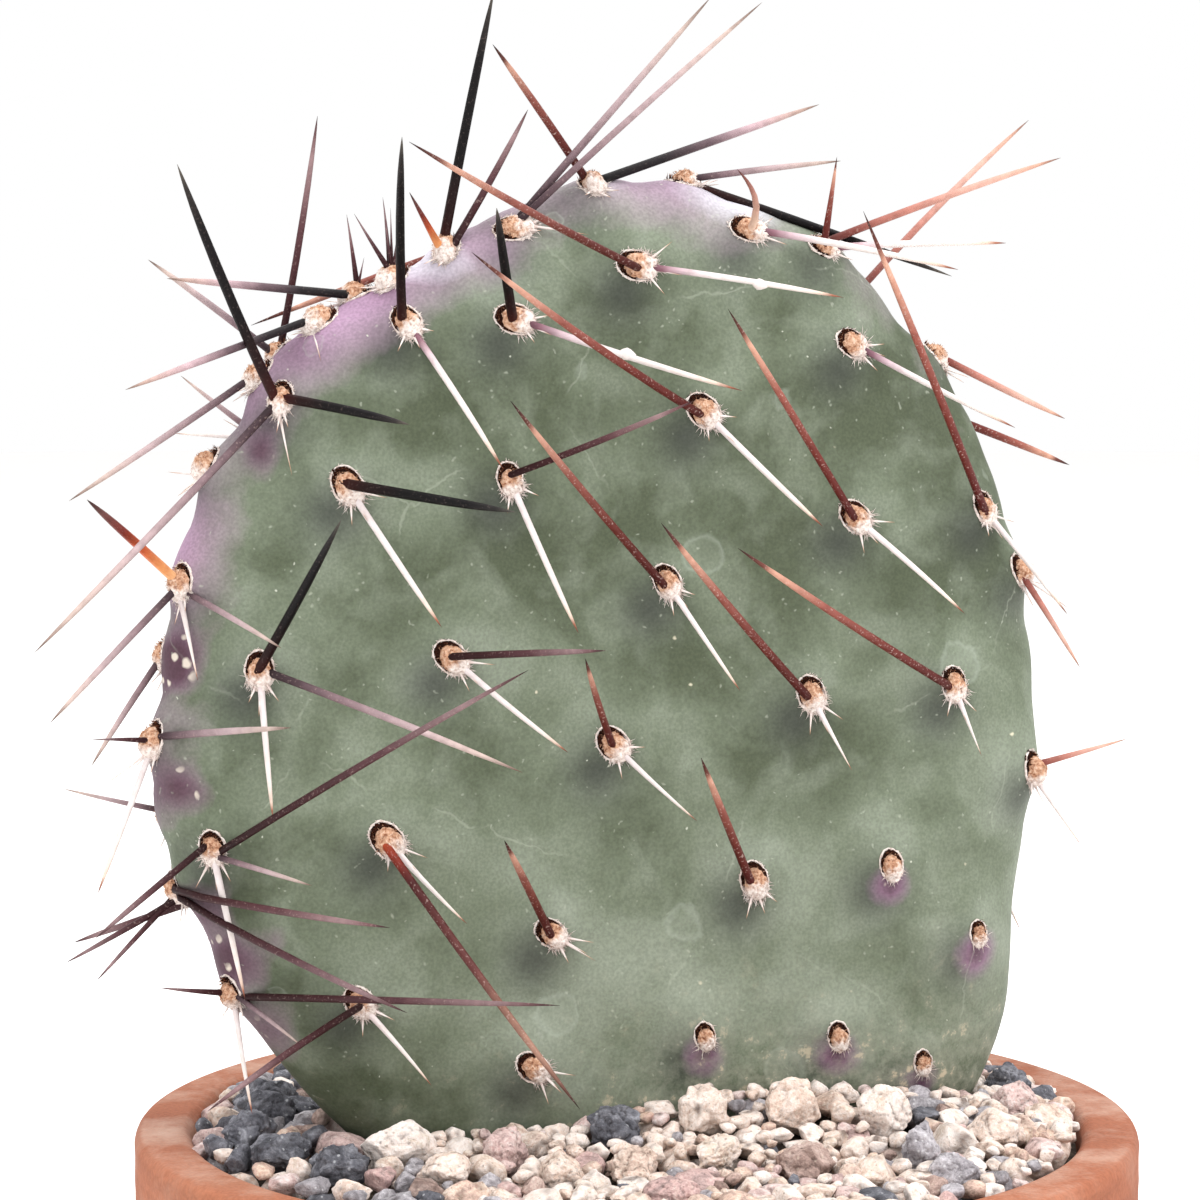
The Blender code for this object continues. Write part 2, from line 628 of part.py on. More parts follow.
def bed_height(x, y):
    """Height of the grit bed: it rises towards the pad, most where the grit is heaped against it."""
    beside = max(abs(x) - PAD_FOOT_HALF_WIDTH, 0.0)
    before = max(abs(y - PAD_CENTRE.y) - PAD_FOOT_HALF_DEPTH, 0.0)
    heap = BED_HEAP * math.exp(-((x - BED_HEAP_CENTRE) / BED_HEAP_REACH) ** 2)
    return BED_EDGE + (BED_MOUND + heap) * math.exp(-(math.hypot(beside, before) / BED_SLOPE_REACH) ** 2)


def facet(shape, centre, sizes, draw, cuts):
    """Cuts a round lump to a broken stone by pressing its points onto a few random planes."""
    planes = []
    for _ in range(cuts):
        direction = Vector((draw.gauss(0, 1), draw.gauss(0, 1), draw.gauss(0, 1))).normalized()
        planes.append((direction, draw.uniform(*STONE_CUT_DEPTH)))
    for vert in shape.verts:
        for direction, reach in planes:
            over = vert.co.dot(direction) - reach
            if over > 0.0:
                vert.co -= direction * over
        vert.co = Vector((vert.co.x * sizes[0], vert.co.y * sizes[1], vert.co.z * sizes[2]))
    spin = Matrix.Rotation(centre[3], 4, "Z")
    bmesh.ops.transform(shape, matrix=Matrix.Translation(Vector(centre[:3])) @ spin, verts=shape.verts)


def stone_sizes(length, width, height):
    """Half sizes of a stone's lump before it is broken to shape."""
    return [0.5 * STONE_FULLNESS * size * MM for size in (length, width, height)]


def stone_level(x, y, half_height):
    """Height of a stone's middle, with its lower part sunk in the bed."""
    return bed_height(x * MM, y * MM) + half_height * (1.0 - 2.0 * STONE_SINK)


def stone_seat(x, y, length, width, height, turn):
    """A flared eight-sided pocket that a stone sits in, as a cutter."""
    sizes = stone_sizes(length, width, height)
    level = stone_level(x, y, sizes[2])
    reach = 1.0 / math.cos(math.pi / SEAT_SIDES)
    shape = bmesh.new()
    rings = []
    for size, rise in SEAT_ROWS:
        ring = []
        for side in range(SEAT_SIDES):
            angle = 2.0 * math.pi * (side + 0.5) / SEAT_SIDES
            along = (sizes[0] + GAP) * reach * size * math.cos(angle)
            across = (sizes[1] + GAP) * reach * size * math.sin(angle)
            ring.append(shape.verts.new((along, across, (sizes[2] + GAP) * rise)))
        rings.append(ring)
    join_rings(shape, rings[0], rings[1])
    join_rings(shape, rings[1], rings[2])
    shape.faces.new(rings[0][::-1])
    shape.faces.new(rings[2])
    place = Matrix.Translation((x * MM, y * MM, level)) @ Matrix.Rotation(math.radians(turn), 4, "Z")
    bmesh.ops.transform(shape, matrix=place, verts=shape.verts)
    return shape


def stone_shape(name, x, y, length, width, height, turn):
    """A broken stone, part sunk in the bed."""
    draw = random.Random(name)
    shape = bmesh.new()
    bmesh.ops.create_icosphere(shape, subdivisions=STONE_DETAIL, radius=1.0)
    sizes = stone_sizes(length, width, height)
    facet(shape, (x * MM, y * MM, stone_level(x, y, sizes[2]), math.radians(turn)), sizes, draw, STONE_CUTS)
    return shape


def make_stones():
    """The loose stones, each its own object in its own colour."""
    for stone in STONES:
        add_object(stone[0], stone_shape(*stone), stone[0].split("_")[1])


def grit_points(edge, draw):
    """Points of the bed's top: a jittered triangle grid, every third point the middle of a grain."""
    points = []
    reach = int(edge / GRIT_STEP) + 2
    for row in range(-reach, reach + 1):
        for column in range(-2 * reach, 2 * reach + 1):
            x = (column + 0.5 * row + draw.uniform(-GRIT_JITTER, GRIT_JITTER)) * GRIT_STEP
            y = (row * math.sqrt(0.75) + draw.uniform(-GRIT_JITTER, GRIT_JITTER)) * GRIT_STEP
            is_grain = (column - row) % 3 == 0
            rise = draw.uniform(*GRIT_RISE) if is_grain else -draw.uniform(*GRIT_DIP)
            if math.hypot(x, y) < edge - GRIT_RIM:
                points.append((x, y, bed_height(x, y) + rise))
    return points


def make_bed(pad_cutter):
    """The bed of grit, with a hole for the pad and a seat for each loose stone."""
    edge = inner_radius(BED_EDGE) - GAP
    foot = inner_radius(SOIL_TOP) - GAP
    turns = [2.0 * math.pi * side / POT_SIDES for side in range(POT_SIDES)]
    points = grit_points(edge, random.Random(GRIT_SEED))
    points = [(edge * math.cos(a), edge * math.sin(a), BED_EDGE) for a in turns] + points
    ring = [(side, (side + 1) % POT_SIDES) for side in range(POT_SIDES)]
    flat, _, faces, _, _, _ = delaunay_2d_cdt([Vector(point[:2]) for point in points], ring, [], 1, 1e-7)
    if len(flat) != len(points):
        raise ValueError("two points of the grit fell together")
    shape = bmesh.new()
    verts = [shape.verts.new(point) for point in points]
    for face in faces:
        shape.faces.new([verts[index] for index in face])
    bottom = [shape.verts.new((foot * math.cos(a), foot * math.sin(a), SOIL_TOP + GAP)) for a in turns]
    join_rings(shape, verts[:POT_SIDES], bottom)
    shape.faces.new(bottom[::-1])
    bmesh.ops.triangulate(shape, faces=shape.faces)
    bed = add_object("gravel_bed", shape, "grit")
    boolean(bed, "DIFFERENCE", other=pad_cutter)
    seats = bpy.data.collections.new("seats")
    bpy.context.scene.collection.children.link(seats)
    for stone in STONES:
        add_object(f"seat_of_{stone[0]}", stone_seat(*stone[1:]), "grit", seats)
    boolean(bed, "DIFFERENCE", collection=seats)
    remove_collection(seats)
    drop_scraps(bed)


def make_soil(pad_cutter):
    """The potting mix under the grit, with the hole that the pad's foot stands in."""
    bottom = POT_FLOOR + GAP
    profile = [
        (0.0, bottom),
        (inner_radius(bottom) - POT_EDGE - GAP, bottom),
        (inner_radius(bottom + POT_EDGE) - GAP, bottom + POT_EDGE),
        (inner_radius(SOIL_TOP) - GAP, SOIL_TOP),
        (0.0, SOIL_TOP),
    ]
    soil = add_object("soil", turned(profile, POT_SIDES), "potting_mix")
    boolean(soil, "DIFFERENCE", other=pad_cutter)
    drop_scraps(soil)


def main():
    """Makes every piece of the potted cactus."""
    clear_scene()
    areoles = list_areoles()
    make_pot()
    pad_cutter = add_object("pad_cutter", pad_body(areoles, GAP), "cactus")
    pad_cutter.hide_render = True
    pad_cutter.display_type = "WIRE"
    make_soil(pad_cutter)
    make_bed(pad_cutter)
    bpy.data.objects.remove(pad_cutter, do_unlink=True)
    make_pad(areoles)
    make_stones()


main()
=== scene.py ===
"""Looks of the potted prickly pear cactus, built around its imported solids.

The pad gets a fine skin, felt cushions with wool and round spines. The grit gets single grains and broken
stones, and the pot is turned finely. Units are metres, +Z is up and the pad's broad front faces -Y.
"""
import math
import random

import bmesh
import bpy
import numpy as np
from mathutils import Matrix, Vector, noise
from bpy.props import FloatProperty, FloatVectorProperty, IntProperty, PointerProperty, StringProperty
from bpy.types import Operator, Panel, PropertyGroup


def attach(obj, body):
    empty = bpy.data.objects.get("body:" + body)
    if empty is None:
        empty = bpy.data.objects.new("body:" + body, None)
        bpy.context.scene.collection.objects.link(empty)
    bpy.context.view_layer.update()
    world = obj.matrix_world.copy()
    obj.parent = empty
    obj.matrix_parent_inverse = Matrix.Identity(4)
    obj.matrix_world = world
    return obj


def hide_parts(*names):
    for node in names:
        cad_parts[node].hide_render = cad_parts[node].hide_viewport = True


bl_info = {
    "name": "Potted Prickly Pear",
    "version": (1, 0, 0),
    "blender": (4, 5, 0),
    "location": "View3D > Sidebar > Prickly Pear",
    "description": "Dresses a potted prickly pear cactus with skin, spines, grit, stones and a clay pot",
    "category": "Add Mesh",
}

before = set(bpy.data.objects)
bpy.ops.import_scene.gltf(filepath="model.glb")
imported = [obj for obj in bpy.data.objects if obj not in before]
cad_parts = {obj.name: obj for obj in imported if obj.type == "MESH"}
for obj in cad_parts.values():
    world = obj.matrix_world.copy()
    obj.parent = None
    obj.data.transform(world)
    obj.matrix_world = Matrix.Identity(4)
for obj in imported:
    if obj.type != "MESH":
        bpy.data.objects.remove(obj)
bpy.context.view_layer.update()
BODY = "root"
MM = 0.001
TURN = 2.0 * math.pi

# Pot and filling, the same sizes as the solids'
POT_HEIGHT = 105.0 * MM
POT_FOOT_RADIUS = 41.0 * MM
POT_COLLAR_RADIUS = 59.5 * MM
POT_COLLAR_HEIGHT = 24.0 * MM
POT_COLLAR_STEP = 3.0 * MM
POT_MOUTH_RADIUS = 53.0 * MM
POT_WALL = 5.5 * MM
POT_FLOOR = 7.0 * MM
DRAIN_RADIUS = 5.0 * MM
DRAIN_RING = 19.0 * MM
DRAIN_HOLES = 3
GAP = 0.35 * MM
SOIL_TOP = 96.0 * MM
BED_EDGE = 105.2 * MM
BED_MOUND = 1.8 * MM
BED_HEAP = 3.2 * MM
BED_HEAP_CENTRE = 12.0 * MM
BED_HEAP_REACH = 20.0 * MM
BED_SLOPE_REACH = 12.0 * MM
PAD_FOOT_HALF_WIDTH = 34.0 * MM
PAD_FOOT_HALF_DEPTH = 9.0 * MM

# Pad, the same outline and skin as the solid's
PAD_CENTRE = np.array((-5.0, -3.0, 161.0)) * MM
PAD_HALF_THICKNESS = 8.6 * MM
PAD_TAPER = 0.016
PAD_EDGE_POWER = 6.0
PAD_RADII = np.array((54.5, 54.5, 55.0, 52.5, 52.5, 52.0, 53.0, 55.5, 59.5, 69.5, 75.0, 74.0,
                      72.0, 68.0, 63.0, 59.0, 55.5, 54.5, 51.0, 51.0, 50.5, 51.0, 49.5, 52.0)) * MM
NORMAL_STEP = 0.05 * MM
MOUND_FACE = 0.9 * MM
MOUND_RIM = 1.2 * MM
MOUND_REACH = 4.6 * MM
CUSHION_HEADING = 165.0
CUSHION_LEAST_SLANT = 0.2
SPINE_SUNK = 1.5 * MM
SPINE_SPREAD = 0.8 * MM
SPINE_ROW = 0.6 * MM
SPINE_CLEAR = 0.5 * MM
SPINE_LIFT_STEP = 3
SPINE_LIFT_MOST = 60
BEND_STEP = 1.8 * MM
SPINE_TESTED_AT = np.array((0.2, 0.3, 0.45, 0.6, 0.8, 1.0))

# Front areoles: millimetres across and up from the pad's centre, then the spines.
# A spine is its heading in degrees clockwise from up, its lift off the face in degrees, its length in
# millimetres, and its kind.
FRONT_AREOLES = [
    (16.0, 49.0, [(330, 50, 12, "thorn"), (102, 12, 25, "white")]),
    (2.0, 45.0, [(290, 45, 52, "dark"), (100, 12, 24, "white")]),
    (-12.5, 39.0, [(337, 48, 20, "black"), (109, 14, 27, "white")]),
    (-24.5, 38.5, [(346, 48, 30, "black"), (151, 15, 20, "white")]),
    (-11.5, 49.0, [(48, 6, 39, "pale"), (42, 0, 35, "pale"), (95, 20, 8, "small")]),
    (25.5, 47.0, [(3, 20, 11, "dark"), (71, 2, 31, "pale"), (88, 10, 21, "white")]),
    (28.0, 36.0, [(117, 12, 22, "white")]),
    (9.5, 28.5, [(298, 35, 46, "dark"), (137, 14, 19, "white")]),
    (-13.5, 21.0, [(60, 50, 28, "dark"), (160, 14, 19, "white")]),
    (-32.0, 20.5, [(99, 50, 24, "black"), (150, 15, 19, "white")]),
    (-38.5, 30.0, [(334, 15, 29, "black"), (103, 50, 18, "black"), (228, 18, 41, "pale"),
                   (176, 20, 8, "small")]),
    (45.0, 16.5, [(325, 30, 48, "dark"), (145, 12, 16, "white")]),
    (28.0, 16.0, [(319, 30, 37, "dark"), (134, 12, 17, "white")]),
    (5.0, 9.0, [(312, 35, 39, "dark"), (150, 14, 15, "white")]),
    (-20.5, 1.0, [(82, 50, 22, "dark"), (132, 14, 17, "white")]),
    (-42.0, 0.0, [(21, 40, 24, "black"), (112, 30, 32, "pale"), (176, 12, 16, "white")]),
    (40.5, -4.0, [(298, 30, 44, "dark"), (165, 14, 9, "white")]),
    (22.5, -4.5, [(311, 35, 40, "dark"), (157, 14, 10, "white")]),
    (-1.5, -9.5, [(333, 40, 16, "dark"), (136, 14, 13, "white")]),
    (-28.0, -19.5, [(148, 35, 39, "ember"), (140, 15, 13, "white")]),
    (-47.0, -20.0, [(241, 35, 20, "dark"), (47, 50, 54, "dark"), (104, 45, 14, "pale"),
                    (171, 10, 16, "white")]),
    (44.0, -34.0, []),
    (32.5, -25.0, []),
    (15.5, -26.0, [(329, 30, 21, "dark")]),
    (-9.0, -31.0, [(328, 40, 20, "dark"), (127, 15, 6, "small")]),
    (-31.0, -38.0, [(139, 14, 13, "white"), (251, 40, 29, "dark")]),
    (37.0, -49.0, []),
    (26.0, -45.0, []),
    (9.5, -44.0, []),
    (-11.0, -46.5, [(128, 20, 5, "small")]),
]

# Rim areoles: clock angle in degrees, millimetres back from the rim's middle, then the spines as above
RIM_AREOLES = [
    (358, -2.0, [(319, 20, 21, "dark"), (72, -10, 31, "ash")]),
    (10, 0.0, [(83, 0, 20, "pale"), (109, 8, 34, "black")]),
    (38, 4.0, [(52, -20, 38, "pale")]),
    (50, 0.0, [(115, 0, 19, "pale")]),
    (58, 4.0, [(110, -8, 20, "dark"), (240, -55, 24, "dark")]),
    (80, -3.5, [(149, 10, 14, "pale"), (129, 0, 8, "small")]),
    (106, -4.0, [(75, 10, 12, "pale"), (151, 10, 11, "white")]),
    (118, 4.0, [(300, -55, 18, "pale"), (150, -15, 12, "white")]),
    (133, 5.0, []),
    (338, -2.0, [(7, 20, 30, "black"), (33, -10, 19, "dark"), (320, 40, 11, "ember")]),
    (330, -1.0, [(350, 10, 9, "dark"), (325, 12, 9, "dark"), (180, 35, 4, "small")]),
    (325, 0.5, [(348, 5, 9, "dark"), (275, 5, 22, "black")]),
    (319, -1.0, [(252, 25, 28, "black"), (190, 25, 6, "small")]),
    (313, 2.0, [(10, -5, 27, "dark"), (307, -8, 18, "pale")]),
    (309, 0.0, [(238, 10, 27, "pale")]),
    (303, 5.0, [(310, -25, 12, "pale"), (268, -30, 10, "white")]),
    (296, 0.0, [(255, 5, 5, "small")]),
    (281, -2.5, [(309, 40, 20, "ember"), (228, 20, 23, "pale"), (122, 45, 16, "pale"),
                 (172, 10, 10, "white")]),
    (271, 3.0, [(214, 0, 16, "pale")]),
    (261, -1.5, [(79, 55, 22, "pale"), (277, 30, 9, "dark"), (203, 15, 18, "white"),
                 (236, 0, 7, "small")]),
    (251, 4.0, [(281, -8, 12, "pale")]),
    (243, 1.0, [(93, 60, 36, "dark"), (116, 55, 38, "dark"), (226, 8, 14, "dark"), (241, -6, 15, "dark")]),
    (230, -2.0, [(279, 30, 10, "dark"), (128, 40, 11, "pale"), (82, 50, 46, "dark"), (176, 22, 13, "white")]),
    (22, 4.5, [(202, -55, 26, "dark"), (95, -20, 14, "white")]),
    (355, 4.5, [(250, -4, 38, "dark"), (170, -55, 24, "pale")]),
    (92, 4.0, [(272, -55, 22, "dark"), (200, -45, 13, "white")]),
    (238, 5.0, [(245, -35, 20, "dark")]),
]

# Back areoles: the same seeded rule as the solid's
BACK_SEED = 41
BACK_ROW_STEP = (23.0 * MM, -8.0 * MM)
BACK_LINE_STEP = (-6.0 * MM, -20.0 * MM)
BACK_SHIFT = (4.0 * MM, 3.0 * MM)
BACK_LIMIT = 0.86
BACK_LOWEST = -47.0 * MM
BACK_SPINY_ABOVE = -24.0 * MM
BACK_DOWN_ABOVE = 18.0 * MM
BACK_JITTER = 1.2 * MM
BACK_ROWS = range(-3, 4)
BACK_LINES = range(-3, 4)
BACK_SPINES = {
    "dark": (1.0, (-45, 45), (30, 50), (24, 42)),
    "black": (0.45, (60, 130), (28, 45), (18, 32)),
    "white": (1.0, (140, 215), (12, 18), (12, 20)),
}
BACK_LOW_SPINES = {"small": (1.0, (120, 240), (18, 24), (4, 8))}

# Loose stones: place, length, width and height in millimetres, and turn in degrees, as the solids'
STONES = [
    ("stone_dark_01", -42.0, 16.5, 8.0, 6.0, 5.5, 20),
    ("stone_dark_02", -46.8, 0.0, 6.5, 5.5, 4.5, 70),
    ("stone_dark_03", -43.0, 8.0, 6.5, 5.0, 5.5, 130),
    ("stone_dark_04", -45.0, -11.5, 7.0, 6.0, 4.5, 35),
    ("stone_dark_05", -40.5, -20.5, 6.5, 5.5, 4.5, 160),
    ("stone_cream_01", -33.0, -16.5, 8.0, 6.0, 5.5, 10),
    ("stone_cream_02", -29.5, -25.0, 6.5, 5.5, 4.5, 60),
    ("stone_pink_01", -21.5, -20.0, 5.5, 5.0, 5.5, 100),
    ("stone_tan_01", -17.0, -28.0, 5.5, 5.0, 4.5, 15),
    ("stone_dark_06", -7.5, -17.5, 6.5, 5.0, 5.0, 20),
    ("stone_tan_02", -8.5, -28.0, 6.0, 5.0, 4.5, 140),
    ("stone_pumice_01", 3.0, -17.5, 7.0, 5.5, 6.0, 75),
    ("stone_pink_02", -7.5, -38.5, 6.0, 5.0, 4.0, 0),
    ("stone_tan_03", 1.5, -27.0, 5.5, 5.0, 4.5, 50),
    ("stone_cream_03", 13.5, -18.5, 7.5, 6.0, 6.5, 30),
    ("stone_brown_01", 10.5, -31.5, 6.5, 5.5, 5.0, 110),
    ("stone_cream_04", 24.0, -20.0, 6.5, 6.0, 6.0, 85),
    ("stone_grey_01", 25.0, -29.5, 5.0, 4.5, 6.5, 40),
    ("stone_grey_02", 25.5, -39.0, 5.5, 5.0, 4.5, 150),
    ("stone_cream_05", 36.0, -24.5, 7.0, 6.0, 5.0, 20),
    ("stone_pink_03", 43.5, -12.0, 6.0, 5.5, 5.0, 65),
    ("stone_dark_07", 47.0, -1.0, 6.0, 5.0, 4.5, 100),
    ("stone_grey_03", 43.0, 14.0, 6.5, 5.5, 5.0, 125),
    ("stone_cream_06", 29.0, 21.5, 7.0, 6.0, 5.5, 45),
    ("stone_dark_08", 12.0, 30.0, 6.5, 5.5, 4.5, 5),
    ("stone_tan_04", 2.0, 18.5, 6.0, 5.5, 5.0, 80),
    ("stone_pumice_02", -18.0, 19.0, 7.0, 6.0, 6.0, 155),
    ("stone_brown_02", -27.0, 31.0, 6.5, 5.5, 4.5, 95),
]
STONE_CUTS = 7
STONE_CUT_DEPTH = (0.62, 0.85)
STONE_CHIPS = 6
CHIP_DEPTH = (0.70, 0.90)
# Small grains are cut deeper, so they are more angular
GRAIN_CUT_DEPTH = (0.50, 0.80)
BREAKS_LEVEL = -1.15
STONE_FULLNESS = 1.12
STONE_SINK = 0.45

# The camera that the photograph was taken with: where it aims, and from which side, how high and how far
CAMERA_AIM = np.array((-4.5, 0.0, 167.0)) * MM
CAMERA_LENS = 109.65
CAMERA_SENSOR = 36.0
CAMERA_NEAREST = 0.01


def colour(hex_colour):
    """An sRGB hex colour as linear red, green and blue."""
    srgb = [int(hex_colour[i:i + 2], 16) / 255.0 for i in (0, 2, 4)]
    return [c / 12.92 if c <= 0.04045 else ((c + 0.055) / 1.055) ** 2.4 for c in srgb]


def colour_property(name, hex_colour, description):
    """A colour that a user can change."""
    return FloatVectorProperty(name=name, description=description, subtype="COLOR", size=3, min=0.0, max=1.0,
                               default=colour(hex_colour))


def length_property(name, metres, description):
    """A length that a user can change."""
    return FloatProperty(name=name, description=description, default=metres, unit="LENGTH", precision=5)


def count_property(name, default, least, description):
    """A number of things, or a seed, that a user can change."""
    return IntProperty(name=name, description=description, default=default, min=least)


class SkinSettings(PropertyGroup):
    # The deep green and the wax bloom follow the skin's pale mark, so they are partly painted shade in the
    # valleys and painted light on the crests
    green: colour_property("Green", "666F5C", "Skin where the wax is thin")
    deep: colour_property("Deep green", "49513D", "Skin in the hollows between the cushions")
    bloom: colour_property("Wax bloom", "858D7D", "Pale wax that lies on the skin")
    blush: colour_property("Blush", "4B303C", "Purple of the rim that stands in the sun")
    lilac: colour_property("Lilac", "9E7F98", "Wax over the purple of the rim")
    sides: count_property("Sides", 300, 60, "Points round the outline")
    rows: count_property("Rows", 36, 8, "Rows of points from the middle to the bevel")
    relief: length_property("Relief", 0.35 * MM, "Depth of the hollows between the cushions")


class AreoleSettings(PropertyGroup):
    length: length_property("Length", 4.6 * MM, "Length of a felt cushion with its wool")
    width: length_property("Width", 3.3 * MM, "Width of a felt cushion with its wool")
    proud: length_property("Height", 0.9 * MM, "How far the felt stands out")
    wool_hairs: count_property("Wool hairs", 150, 10, "Hairs round one cushion")
    felt_hairs: count_property("Felt hairs", 60, 0, "Short hairs on one cushion")
    glochids: count_property("Glochids", 26, 0, "Short bristles in one hollow")
    bristles: count_property("Bristles", 3, 0, "Fine bristles below one cushion")
    felt: colour_property("Felt", "C39679", "Peach-brown felt in the cushion's middle")
    wool: colour_property("Wool", "E2D4CC", "White wool round the felt")


class SpineSettings(PropertyGroup):
    sides: count_property("Sides", 9, 5, "Sides of a spine")
    bend: FloatProperty(name="Bend", description="Largest bow of a spine as a share of its length",
                        default=0.022, min=0.0, max=0.1, subtype="FACTOR")
    seed: count_property("Seed", 5, 0, "Seed of the bows and tints")


class GritSettings(PropertyGroup):
    seed: count_property("Seed", 23, 0, "Seed of the grains")
    grains: count_property("Tries", 4800, 100, "Grains that are tried, coarse ones first")
    coarse: length_property("Coarse", 5.6 * MM, "Size of the coarsest small grain")
    fine: length_property("Fine", 1.6 * MM, "Size of the finest grain")
    detail: IntProperty(name="Stone detail", description="Subdivisions of a loose stone", default=5,
                        min=2, max=6)


class PotSettings(PropertyGroup):
    sides: count_property("Sides", 192, 48, "Sides of the turned pot")
    lip: length_property("Lip", 1.5 * MM, "Rounding of the pot's edges")
    ridge: length_property("Turning marks", 0.10 * MM, "Depth of the marks that turning left")
    clay: colour_property("Clay", "A2664C", "Fired clay")


class StageSettings(PropertyGroup):
    floor: colour_property("Floor", "FEFDFC", "Plain pale floor")
    azimuth: FloatProperty(name="Azimuth", description="Side that the camera stands on",
                           default=math.radians(-16.0), subtype="ANGLE")
    elevation: FloatProperty(name="Elevation", description="How high the camera stands",
                             default=math.radians(5.0), subtype="ANGLE")
    distance: length_property("Distance", 430.0 * MM, "From the camera to the pad")
    brightness: FloatProperty(name="Brightness", description="Share of the studio light", default=1.0,
                              min=0.0)


SETTINGS = {
    "pear_skin": SkinSettings,
    "pear_areoles": AreoleSettings,
    "pear_spines": SpineSettings,
    "pear_grit": GritSettings,
    "pear_pot": PotSettings,
    "pear_stage": StageSettings,
}


# Materials

def rgba(value):
    """A socket's or a ramp's colour from a hex string, from a grey number or from red, green and blue."""
    if isinstance(value, str):
        value = colour(value)
    return (*((value,) * 3 if isinstance(value, float) else value), 1.0)


def per_mm(size):
    """Scale of a pattern whose spots are about so many millimetres wide, on a surface that is in metres."""
    return 1.0 / (size * MM)


def add_node(material, kind, inputs=(), stops=None, out=0, **settings):
    """Adds a node and gives one of its output sockets. Inputs are values or the sockets that feed them, by
    name or in order, and stops are a ramp's places and colours."""
    node = material.node_tree.nodes.new("ShaderNode" + kind)
    for name, value in settings.items():
        setattr(node, name, value)
    for name, value in (inputs if isinstance(inputs, dict) else dict(enumerate(inputs))).items():
        if isinstance(value, bpy.types.NodeSocket):
            material.node_tree.links.new(value, node.inputs[name])
        else:
            node.inputs[name].default_value = value
    if stops:
        ramp = node.color_ramp
        while len(ramp.elements) < len(stops):
            ramp.elements.new(0.5)
        for element, (place, value) in zip(ramp.elements, stops):
            element.position = place
            element.color = rgba(value)
    return node.outputs[out]


def new_material(name, roughness, specular, *marks):
    """A Principled material with even roughness and specular level, then its place's and marks' sockets."""
    material = bpy.data.materials.new(name)
    material.use_nodes = True
    shader = material.node_tree.nodes["Principled BSDF"]
    shader.inputs["Roughness"].default_value = roughness
    shader.inputs["Specular IOR Level"].default_value = specular
    place = add_node(material, "TexCoord", out="Object")
    found = [add_node(material, "Attribute", out="Fac", attribute_name=mark) for mark in marks]
    return material, place, *found


def finish_material(material, base, height=None, depth=0.0):
    """Feeds the shader's colour, and raises the surface by a pattern, its depth in millimetres."""
    shader = material.node_tree.nodes["Principled BSDF"]
    material.node_tree.links.new(base, shader.inputs["Base Color"])
    if height is not None:
        bump = add_node(material, "Bump", {"Height": height, "Distance": depth * MM, "Strength": 1.0})
        material.node_tree.links.new(bump, shader.inputs["Normal"])
    return material


def blend_colours(material, share, first, second, kind="MIX"):
    """Mixes a second colour into a first one by a share."""
    if not isinstance(second, bpy.types.NodeSocket):
        second = rgba(second)
    return add_node(material, "Mix", {0: share, 6: first, 7: second}, out=2, data_type="RGBA",
                    blend_type=kind)


def mottle(material, place, size, detail, stops, **shape):
    """Colours in spots about so many millimetres wide: the pattern's socket and the colour's."""
    pattern = add_node(material, "TexNoise",
                       {"Vector": place, "Scale": per_mm(size), "Detail": detail, **shape})
    return pattern, add_node(material, "ValToRGB", (pattern,), stops)


def spots(material, place, size, inside, outside, kept, seed=0.0):
    """Round spots of one radius, as shares of their spacing, on a part of their places; 1 in a spot."""
    shifted = add_node(material, "VectorMath", (place, (seed, seed, seed)), operation="ADD")
    away = add_node(material, "TexVoronoi", {"Vector": shifted, "Scale": per_mm(size)})
    spot = add_node(material, "MapRange", (away, inside, outside, 1.0, 0.0))
    drawn = add_node(material, "Math", (away.node.outputs["Color"], kept), operation="LESS_THAN")
    return add_node(material, "Math", (spot, drawn), operation="MULTIPLY")


# Layers of the skin: their shares, and the ranges of marks and patterns over which they come in
MOTTLE_GAIN = 0.95
# Share of the painted shade below each cushion
PAINTED_SHADE_SHARE = 0.80
TAN_RANGE = (0.75, 1.55)
# The range in which the top of the rim turns bluish white, by thick wax and painted light
THICK_WAX_AND_LIGHT_RANGE = (1.00, 1.55)
PORE_SHARE = 0.26
BENT_BY = 4.2 * MM
SCAR_RANGE = (0.45, 0.80)
DROP_RING, DROP_SHARE = -0.72, 0.19
SCRATCH_SPACING = 44.0
SCRATCH_EDGES, SCRATCH_SHARE = (0.001, 0.004), 0.16
SCRATCHED_RANGE = (0.50, 0.60)
# Pale specks 0.3 and 0.2 mm wide and buff scars 0.5 mm wide: their spacing in millimetres, inner and outer
# radius as shares of it, the part of the places that has one, seed, share and colour
SPECKS = ((1.1, 0.05, 0.20, 0.34, 0.003, 0.40, "B4B9A8"), (2.9, 0.02, 0.055, 0.55, 0.0, 0.85, "C4C6B6"),
          (9.0, 0.015, 0.040, 0.45, 0.029, 0.9, "CFC7AE"))
# Scars 1 mm wide in the deep purple, in the same order up to their seed
PURPLE_SCARS = (2.4, 0.16, 0.26, 0.75, 0.017)
# Faint discs that dried drops left, 5 and 3 mm wide: the soft edge of a disc and of its fainter middle, and
# for each size their spacing in millimetres, the part of the places that has one, and seed
DROP_EDGE, DROP_INNER = (0.150, 0.172), (0.125, 0.150)
DROPS = ((17.0, 0.42, 0.013), (9.0, 0.25, 0.041))
# Dust and its crumbs: the range of their pattern, and colour
DUSTS = ((0.40, 0.74, "ABAC9B"), (0.59, 0.65, "C9BA9F"))
# Shares of the layers in horn, stone and clay, and how flat the clay's turning marks lie
STREAK_SHARE = 0.55
# The last stone share darkens the cracks as painted shade
STONE_TINT, STONE_GRAIN, CRYSTAL_SHARE, CREASE_SHADE_SHARE = 0.6, 0.45, 0.6, 0.8
MARK_SHARE, SAND_SHARE = 0.55, 0.5
MARK_FLATNESS = (0.05, 0.05, 1.0)


